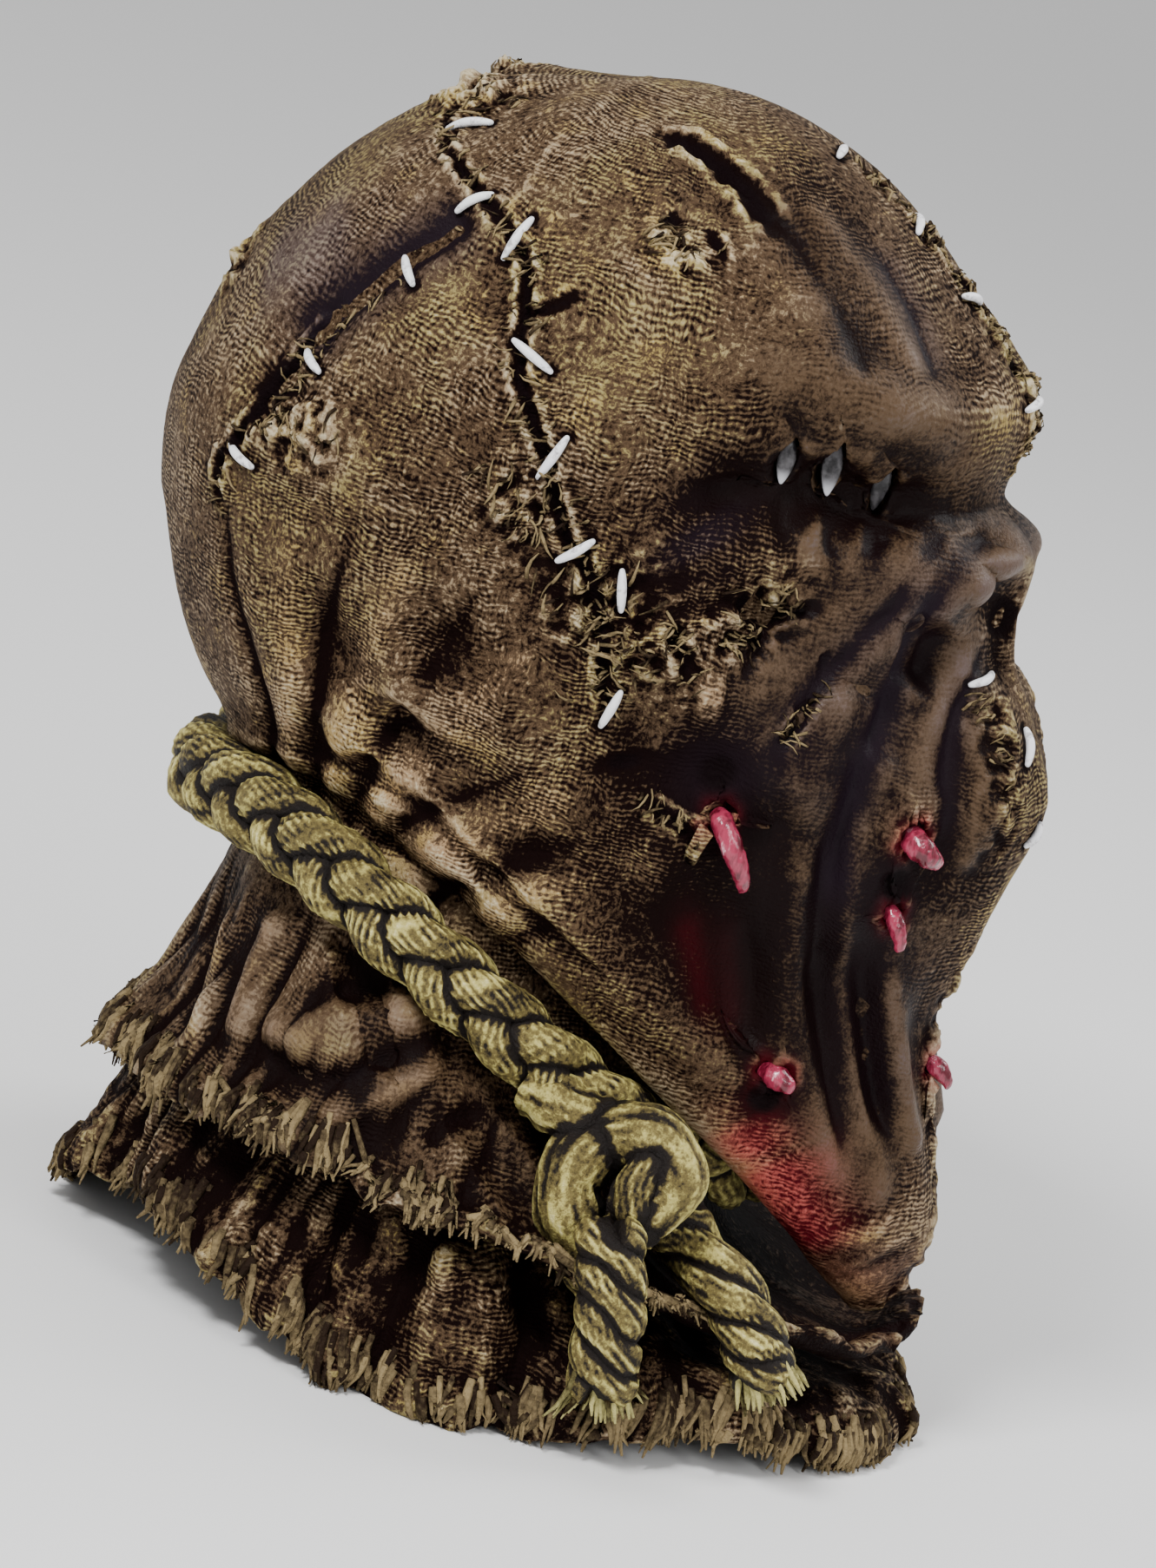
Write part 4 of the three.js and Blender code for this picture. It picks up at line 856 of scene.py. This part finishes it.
# painted shade under the jaw and, weaker, over the ruffle below the rope
under_jaw = rise(drop, 0.002, 0.010) * rise(-np.abs(turn_of(work.points)), -1.15, -0.85)
below_line = rise(drop, 0.0, 0.010)
work.paint["wash_and_shade"] += 0.6 * under_jaw + 0.25 * below_line
work.paint["satin"] += 0.30 * below_line
for form in TEARS:
    work.shape(form)
for name, width, paint, *line in STAINS_AND_SHADE:
    work.shape((name, "stain", width, 0.0, paint, *line))
fangs = [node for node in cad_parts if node.startswith("fang_")]
eyes = [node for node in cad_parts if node.startswith("eye_")]
stitches = [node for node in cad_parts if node.startswith("stitch_")]
chosen, far = work.by(fangs, 9)
work.height[chosen] += 1.7 * bell((far - 3.0) / 1.6) * (0.7 + work.lumps[chosen]) - 1.0 * bell(far / 1.6)
# a red stain round the fangs, and painted shade in the holes they come out of
work.paint["red"][chosen] += 0.9 * bell(far / 3.2)
work.paint["dark"][chosen] += 0.75 * bell(far / 2.6)
chosen, far = work.by(eyes, 9)
# painted shade in the slits round the eye slivers
work.paint["dark"][chosen] += 1.1 * bell(far / 2.6)
work.paint["satin"][chosen] += bell(far / 5.0)
work.height[chosen] += 0.5 * bell((far - 3.4) / 1.5)
chosen, far = work.by(stitches, 4)
work.height[chosen] -= 0.7 * bell(far / 1.3)
# painted shade round the threads where they sink in
work.paint["dark"][chosen] += 1.0 * bell(far / 1.5)
tatters = np.clip(work.paint["fray"], 0, 1)
work.height += work.outer * (work.lumps * (0.10 + 1.0 * tatters) + work.rough * (0.12 + 0.7 * tatters))
work.finish()
work.write()
sack_hem = [Vector(work.points[i]) for i in hem_ends if abs(turn_of(work.points[i:i + 1])[0]) > 0.6]
final_sack_tree = tree_of(sack.data)

# the ruffle below the rope is a piece of its own
only(sack)
below_rope = work.points[:, 2] < rope_height(work.points)
for polygon in sack.data.polygons:
    polygon.select = bool(below_rope[polygon.vertices[0]])
bpy.ops.object.mode_set(mode="EDIT")
bpy.ops.mesh.select_mode(type="FACE")
bpy.ops.mesh.separate(type="SELECTED")
bpy.ops.object.mode_set(mode="OBJECT")
ruffle = next(piece for piece in bpy.context.selected_objects if piece is not sack)
ruffle.name = "sack_ruffle"

# fewer faces where the sack is smooth
only(sack)
lighter = sack.modifiers.new("lighter", "DECIMATE")
lighter.ratio = 0.76
bpy.ops.object.modifier_apply(modifier="lighter")
dress(sack, head_material, "sack", "hood")
dress(ruffle, head_material, "sack", "hood")

# ---------------------------------------------------------------- the lower collar
collar = node_copy("under_collar", "ragged_collar")


def outwardness(face):
    centre = face.calc_center_median()
    return Vector((centre.x - MIDDLE, centre.y - 0.01, 0)).normalized().dot(face.normal) + centre.z * 2


lower = Sculpt(collar, refined(collar, outwardness, 2.0, 7.0), collar_tree)
collar_ends = gathered(lower, COLLAR, 5.5, 0.0, 24.0, 8.0, 0.05)
lower.height += lower.outer * (0.5 * lower.lumps + 0.35 * lower.rough)
lower.finish()
lower.write()
collar_hem = [Vector(lower.points[i]) for i in collar_ends]
final_collar_tree = tree_of(collar.data)
dress(collar, collar_material, "lower_sack", "under_collar")


# ---------------------------------------------------------------- tubes and loose fibres
def tube_faces(start, rings, sides, closed=False):
    """Faces of a tube of rings of vertices, capped at both ends unless it is closed to a loop."""
    faces = []
    for n in range(rings if closed else rings - 1):
        a, b = start + n * sides, start + (n + 1) % rings * sides
        faces += [(a + i, a + (i + 1) % sides, b + (i + 1) % sides, b + i) for i in range(sides)]
    if not closed:
        faces.append(tuple(start + i for i in reversed(range(sides))))
        faces.append(tuple(start + (rings - 1) * sides + i for i in range(sides)))
    return faces


def tube_piece(name, points, faces, attribute, *channels):
    mesh = bpy.data.meshes.new(name)
    mesh.from_pydata([tuple(p) for p in points], [], faces)
    store(mesh, attribute, *(np.array(channel) for channel in channels))
    return linked(name, mesh)


def fibres(name, strands, sides=5):
    """One mesh of many thin tapering threads. Each is a list of places, a radius in millimetres and a shade."""
    points, faces, shades, alongs = [], [], [], []
    for places, radius, shade in strands:
        start = len(points)
        for n, place in enumerate(places):
            along = (places[min(n + 1, len(places) - 1)] - places[max(n - 1, 0)]).normalized()
            across = along.orthogonal().normalized()
            out = along.cross(across)
            share = n / (len(places) - 1)
            size = radius * MM * (1 - 0.80 * share ** 1.5) * (0.75 if n == 0 else 1)
            for i in range(sides):
                angle = 2 * math.pi * i / sides
                point = place + across * (size * math.cos(angle)) + out * (size * math.sin(angle))
                point.z = max(point.z, ON_FLOOR)
                points.append(point)
                shades.append(shade)
                alongs.append(share)
        faces += tube_faces(start, len(places), sides)
    return tube_piece(name, points, faces, "shade_along", shades, alongs)


def scatter(size):
    return Vector((dice.uniform(-1, 1), dice.uniform(-1, 1), dice.uniform(-1, 1))) * size * MM


BUNCH = 5       # tufts that hang together


def fringe(name, hem, tree, count, length, radius, material, slot):
    """Bunches of tufts that lie on a wall and hang over its hem."""
    strands = []
    for _ in range(count // BUNCH):
        middle = dice.choice(hem)
        bunch_lean, bunch_shade = scatter(length * 0.35), dice.random()
        bunch_lean.z = 0
        bunch_drop = dice.uniform(-2.5, 1.0)
        for _ in range(BUNCH):
            foot = middle + scatter(2.6)
            away = Vector((foot.x - MIDDLE, foot.y - NECK_Y, 0)).normalized()
            lean = bunch_lean + scatter(length * 0.08)
            long = length * dice.uniform(0.5, 1.3)
            places = []
            for share in (1.0, 0.72, 0.45, 0.2):
                over = foot + Vector((0, 0, long * share * MM)) + lean * share
                place, up, _, _ = tree.find_nearest(over)
                places.append(place + up * radius * dice.uniform(-0.1, 0.5) * MM)
            tip = foot + away * dice.uniform(-0.6, 1.2) * MM
            tip = tip + Vector((0, 0, bunch_drop * MM)) - lean * 0.15 + scatter(0.5)
            tip.z = max(tip.z, radius * 0.6 * MM)
            places.append(tip)
            shade = min(max(bunch_shade * 0.75 + dice.uniform(-0.25, 0.3), 0), 1)
            strands.append((places, radius * dice.uniform(0.6, 1.25), shade))
    return dress(fibres(name, strands), material, slot)


fringe("ruffle_fringe", sack_hem, final_sack_tree, 1000, 13.0, 1.5, fibre_material, "sack")
fringe("collar_fringe", collar_hem, final_collar_tree, 1200, 13.0, 1.6, fibre_material, "lower_sack")

# Places where the cloth is frayed: pixels of the photograph, spread in millimetres, and how many threads
FRAYS = (
    ("side seam", 5.0, 260, *SIDE_SEAM),
    ("crown lump", 6.0, 60, (515, 112), (548, 106), (578, 120)),
    ("groove to the back", 3.0, 14, (540, 262), (464, 312), (420, 345), (390, 372)),
    ("back seam", 4.5, 70, (388, 372), (352, 410), (329, 445), (300, 480), (262, 525), (250, 575)),
    ("flap below the hole", 6.0, 50, (300, 485), (345, 492), (395, 505)),
    ("small holes", 5.0, 40, (757, 262), (780, 298), (825, 296)),
    ("frayed field", 11.0, 150, (640, 650), (700, 700), (740, 740), (700, 780)),
    ("star hole", 5.0, 60, (845, 690), (850, 750), (900, 690), (930, 705)),
    ("tears below", 4.0, 30, (772, 726), (783, 747), (797, 783)),
    ("cheek slit", 3.0, 20, (936, 801), (920, 828), (901, 858)),
    ("fang lips", 3.0, 20, (744, 922), (768, 940), (805, 968)),
    ("frayed patch", 8.0, 50, (560, 560), (600, 590), (630, 600)),
    ("muzzle rib", 3.0, 30, (1125, 800), (1150, 850), (1155, 920)),
    ("forehead seam", 5.0, 130, *FOREHEAD_SEAM),
)


def frayed_threads():
    strands = []
    for _, spread, count, *line in FRAYS:
        path = path_of(sack_tree, line)
        for n in range(count * 2):
            at = dice.random() * (len(path) - 1)
            i = min(int(at), len(path) - 2)
            spot = path[i].lerp(path[i + 1], at - i)
            if n % 2:
                spot = Vector((2 * MIDDLE - spot.x, spot.y, spot.z))
            line_way = (path[i + 1] - path[i]).normalized()
            if n % 2:
                line_way.x = -line_way.x
            spot, normal, _, _ = final_sack_tree.find_nearest(spot + scatter(spread))
            cross = line_way.cross(normal).normalized() * dice.choice((-1, 1))
            way = (cross + line_way * dice.uniform(-0.9, 0.9)).normalized()
            long = dice.uniform(3.0, 9.0) * MM
            arch = dice.uniform(0.0, 0.9) * MM
            bend = normal.cross(way) * dice.uniform(-1.2, 1.2) * MM
            radius = dice.uniform(0.32, 0.75)
            places = []
            for share in (0.0, 0.3, 0.65, 1.0):
                over = spot + way * (long * (share - 0.5)) + bend * math.sin(math.pi * share)
                place, up, _, _ = final_sack_tree.find_nearest(over)
                lift = arch * math.sin(math.pi * share * 0.8) + (radius * 0.4 - 0.25 * (share == 0)) * MM
                places.append(place + up * lift)
            strands.append((places, radius, dice.random()))
    return dress(fibres("frayed_threads", strands), fibre_material, "sack")


frayed_threads()


# ---------------------------------------------------------------- rope
def spine(node, count):
    """Middle points along a long node, from its highest end to its lowest."""
    points = coords(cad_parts[node].data)
    centre = points.mean(axis=0)
    axis = np.linalg.svd(points - centre)[2][0]
    axis = axis if axis[2] < 0 else -axis
    along = (points - centre) @ axis
    marks = np.linspace(along.min(), along.max(), count)
    step = marks[1] - marks[0]
    return [Vector(np.average(points, axis=0, weights=bell((along - m) / step) + 1e-9)) for m in marks]


def smooth_line(points, steps, closed=False):
    """A smooth line of many points through a few."""
    out, count = [], len(points)
    last = count if closed else count - 1
    for n in range(steps if closed else steps + 1):
        i = min(int(last * n / steps), last - 1)
        t = last * n / steps - i
        a, b, c, d = (points[(i + k) % count if closed else min(max(i + k, 0), count - 1)] for k in (-1, 0, 1, 2))
        out.append(b + 0.5 * t * (c - a + t * (2 * a - 5 * b + 4 * c - d + t * (3 * (b - c) + d - a))))
    return out


FIBRE_DEPTH = 0.06      # grooves between fibres, as a share of a strand's radius


def strand_mesh(name, strands, sides, closed, grooves, twist):
    """One mesh of several strands. Each is a list of centres with radii, and its fibres wind round it."""
    points, faces, groove_paint, crevice_paint = [], [], [], []
    trees = [near_tree([centre for centre, _ in strand]) for strand in strands]
    for number, strand in enumerate(strands):
        start, rings = len(points), len(strand)
        across, run = None, 0.0
        for n, (centre, radius) in enumerate(strand):
            before = strand[(n - 1) % rings if closed else max(n - 1, 0)][0]
            after = strand[(n + 1) % rings if closed else min(n + 1, rings - 1)][0]
            along = (after - before).normalized()
            run += (after - before).length / 2
            across = along.orthogonal() if across is None else across
            across = (across - along * across.dot(along)).normalized()
            out = along.cross(across)
            for i in range(sides):
                angle = 2 * math.pi * i / sides
                wound = angle + twist * run / radius
                wave = math.sin(grooves * wound + number * 2.1 + 2.4 * noise.noise(centre * 90))
                fine = noise.noise(Vector((math.cos(wound) * 3.4, math.sin(wound) * 3.4, run * 70 + number * 7)))
                place = centre + (across * math.cos(angle) + out * math.sin(angle)) * (
                    radius * (1 + FIBRE_DEPTH * (wave * 0.5 + fine * 1.6)))
                points.append(place)
                # darker in the grooves between fibres, and a crevice share where strands press together: both painted
                # shade
                groove_paint.append(0.5 + 0.22 * wave + 0.55 * fine)
                close = 9.0
                for other, tree in enumerate(trees):
                    if other != number:
                        _, k, far = tree.find(place)
                        close = min(close, far / strands[other][k][1])
                crevice_paint.append(max(0.0, min(1.0, (1.30 - close) / 0.24)))
        faces += tube_faces(start, rings, sides, closed)
    return tube_piece(name, points, faces, "groove_crevice", groove_paint, crevice_paint)


STEPS, PLAITS = 520, 9
FRONT_RADIUS, NAPE_EXTRA, DRAWN_IN = 0.0100, 0.0016, 0.005
ring_smooth = smooth_line(ring_line, STEPS, True)
strands = []
for j in range(3):
    strand = []
    for n, centre in enumerate(ring_smooth):
        after, before = ring_smooth[(n + 1) % STEPS], ring_smooth[n - 1]
        turn = math.pi * (2 * n / STEPS - 1)
        nape = 0.5 - 0.5 * math.cos(turn)
        radius = FRONT_RADIUS + NAPE_EXTRA * nape
        phase = 2 * math.pi * (PLAITS * n / STEPS + j / 3)
        out = Vector((centre.x - MIDDLE, centre.y - NECK_Y, 0)).normalized()
        across = (after - before).normalized().cross(out).normalized()
        place = centre + across * (radius * 0.66 * math.sin(phase))
        place = place + out * (radius * 0.36 * math.sin(2 * phase) - DRAWN_IN * nape)
        strand.append((place, radius * (0.60 + 0.08 * math.cos(2 * phase) + 0.05 * noise.noise(centre * 60))))
    strands.append(strand)
dress(strand_mesh("plaited_rope", strands, 28, True, 13, 0.30), rope_material, "rope", "rope_ring")


LINE_STEPS = 80         # along an end or a lobe


def rope_end(node, name, radius, turns, spread):
    """Three strands laid round each other, which fray into a tassel."""
    line = smooth_line(spine(node, 7), LINE_STEPS)
    strands = []
    for j in range(3):
        strand = []
        for n, centre in enumerate(line):
            along = (line[min(n + 1, LINE_STEPS)] - line[max(n - 1, 0)]).normalized()
            angle = 2 * math.pi * (turns * n / LINE_STEPS + j / 3)
            across = along.cross(IMAGE_BACK).normalized()
            out = across.cross(along)
            off = (across * math.cos(angle) + out * math.sin(angle)) * radius * 0.50 * MM
            strand.append((centre + off, radius * MM * (0.62 + 0.05 * math.sin(n * 0.35))))
        strands.append(strand)
    dress(strand_mesh(name, strands, 26, False, 11, 0.3), rope_material, "rope", node)
    end, way = line[-1], (line[-1] - line[-9]).normalized()
    tassel = []
    for _ in range(64):
        side = scatter(radius * 0.60)
        side -= way * side.dot(way)
        long = dice.uniform(5, 9) * MM
        places = [end - way * 0.008 + side * 1.05, end - way * 0.001 + side * 1.25]
        places += [end + way * long * share + side * (1.25 + spread * share) + scatter(0.5) for share in (0.5, 1.0)]
        for place in places:
            place.z = max(place.z, 0.0015)
        tassel.append((places, dice.uniform(1.1, 1.9), dice.random()))
    dress(fibres(name + "_tassel", tassel), tassel_material, "rope")


rope_end("rope_tail_a", "rope_end_back", 9.6, 1.5, 0.9)
rope_end("rope_tail_b", "rope_end_front", 9.2, 1.7, 0.5)

# Lobes of the knot: radius in millimetres, and pixels of the photograph with how many millimetres they lie
# before the plane through its middle
KNOT = (
    ("left lobe", 9.8, (735, 1305, -2), (690, 1318, 6), (656, 1352, 9), (655, 1395, 8), (672, 1436, 4),
     (690, 1470, -3)),
    ("right loop", 9.6, (682, 1322, 0), (722, 1306, 9), (762, 1318, 11), (776, 1356, 11), (750, 1388, 10),
     (716, 1384, 5)),
    ("middle lobe", 5.8, (752, 1338, 15), (732, 1366, 18), (730, 1398, 15), (742, 1424, 8)),
    ("upper lobe", 9.0, (618, 1250, -3), (660, 1284, 4), (700, 1300, 2)),
)
knot_middle = Vector(coords(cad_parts["rope_knot"].data).mean(axis=0))


def before_knot(x, y, out):
    """Where a pixel's ray is a distance in millimetres before the plane through the knot's middle."""
    ray = pixel_ray(x, y)
    return EYE + ray * ((knot_middle - EYE).dot(IMAGE_BACK) / ray.dot(IMAGE_BACK) - out * MM)


knot_strands = []
for _, radius, *path in KNOT:
    line = smooth_line([before_knot(*spot) for spot in path], LINE_STEPS)
    knot_strands.append([(centre, radius * MM * (1 + 0.05 * math.sin(n * 0.3))) for n, centre in enumerate(line)])
dress(strand_mesh("rope_knot_loops", knot_strands, 34, False, 13, 0.28), rope_material, "rope", "rope_knot")


# ---------------------------------------------------------------- stitches, fangs and eyes
def rounded_copy(node, name, levels, swell):
    """A CAD node's copy with rounded faces, swollen a little to keep its thickness."""
    made = node_copy(node, name)
    only(made)
    rounded = made.modifiers.new("round", "SUBSURF")
    rounded.levels = rounded.render_levels = levels
    bpy.ops.object.modifier_apply(modifier="round")
    set_coords(made.data, coords(made.data) + normals(made.data) * (swell * MM))
    return made


def stubby(mesh):
    """Places of a horn's vertices, uneven, and shorter and fatter towards the tip."""
    places = coords(mesh)
    places = places + normals(mesh) * (0.35 * noise_of(places, 3.0))[:, None] * MM
    middle = places.mean(axis=0)
    axis = np.linalg.svd(places - middle, full_matrices=False)[2][0]
    along = (places - middle) @ axis
    off = places - middle - along[:, None] * axis
    thick = np.linalg.norm(off, axis=1)
    if thick[along > np.percentile(along, 80)].mean() > thick[along < np.percentile(along, 20)].mean():
        axis, along = -axis, -along
    base = middle + axis * along.min()
    along = along - along.min()
    share = along / along.max()
    return base + (along * (1 - 0.28 * share))[:, None] * axis + off * (1 + 0.30 * share)[:, None]


for node in stitches:
    dress(rounded_copy(node, node.replace("stitch_", "thread_"), 2, 0.50), thread_material, "stitch", node)
for node in fangs:
    horn = rounded_copy(node, node + "_horn", 3, 0.5)
    set_coords(horn.data, stubby(horn.data))
    dress(horn, fang_material, "fang", node)
for node in eyes:
    sliver = rounded_copy(node, node + "_sliver", 3, 0.3)
    # painted highlight for the eye material: strongest at the bottom of each sliver, weaker on the inner one
    heights = coords(sliver.data)[:, 2]
    low = (1 - (heights - heights.min()) / np.ptp(heights)) * (0.3 if "inner" in node else 1.0)
    store(sliver.data, "shade_along", low)
    dress(sliver, eye_material, "eye", node)

# ---------------------------------------------------------------- floor, light and camera
bpy.ops.mesh.primitive_plane_add(size=8, location=(0, 0, 0))
floor = bpy.context.active_object
floor.name = "floor"
pale = bpy.data.materials.new("pale floor")
pale.use_nodes = True
floor_shader = pale.node_tree.nodes["Principled BSDF"]
floor_shader.inputs["Base Color"].default_value = (0.88, 0.88, 0.88, 1)
floor_shader.inputs["Roughness"].default_value = 0.9
floor.data.materials.append(pale)

world = bpy.data.worlds.new("studio")
bpy.context.scene.world = world
world.use_nodes = True
world.node_tree.nodes["Background"].inputs["Color"].default_value = (1, 1, 1, 1)
world.node_tree.nodes["Background"].inputs["Strength"].default_value = 0.65


def soft_light(name, place, size, power):
    bpy.ops.object.light_add(type="AREA", location=place)
    lamp = bpy.context.active_object
    lamp.name = name
    lamp.data.size = size
    lamp.data.energy = power
    lamp.rotation_euler = (Vector((0, 0, 0.2)) - Vector(place)).to_track_quat("-Z", "Y").to_euler()


soft_light("key", (-1.0, 0.4, 1.5), 0.45, 30)
soft_light("front", (-0.9, -1.2, 0.9), 0.6, 9)
soft_light("rim", (0.8, -0.9, 1.2), 0.7, 12)

bpy.ops.object.camera_add(location=EYE)
camera = bpy.context.active_object
camera.name = "photo camera"
camera.data.lens = FOCAL / IMAGE.y * 36
camera.data.sensor_width = 36
camera.data.clip_start = 0.05
camera.rotation_euler = Matrix((IMAGE_RIGHT, IMAGE_UP, IMAGE_BACK)).transposed().to_euler()
bpy.context.scene.camera = camera
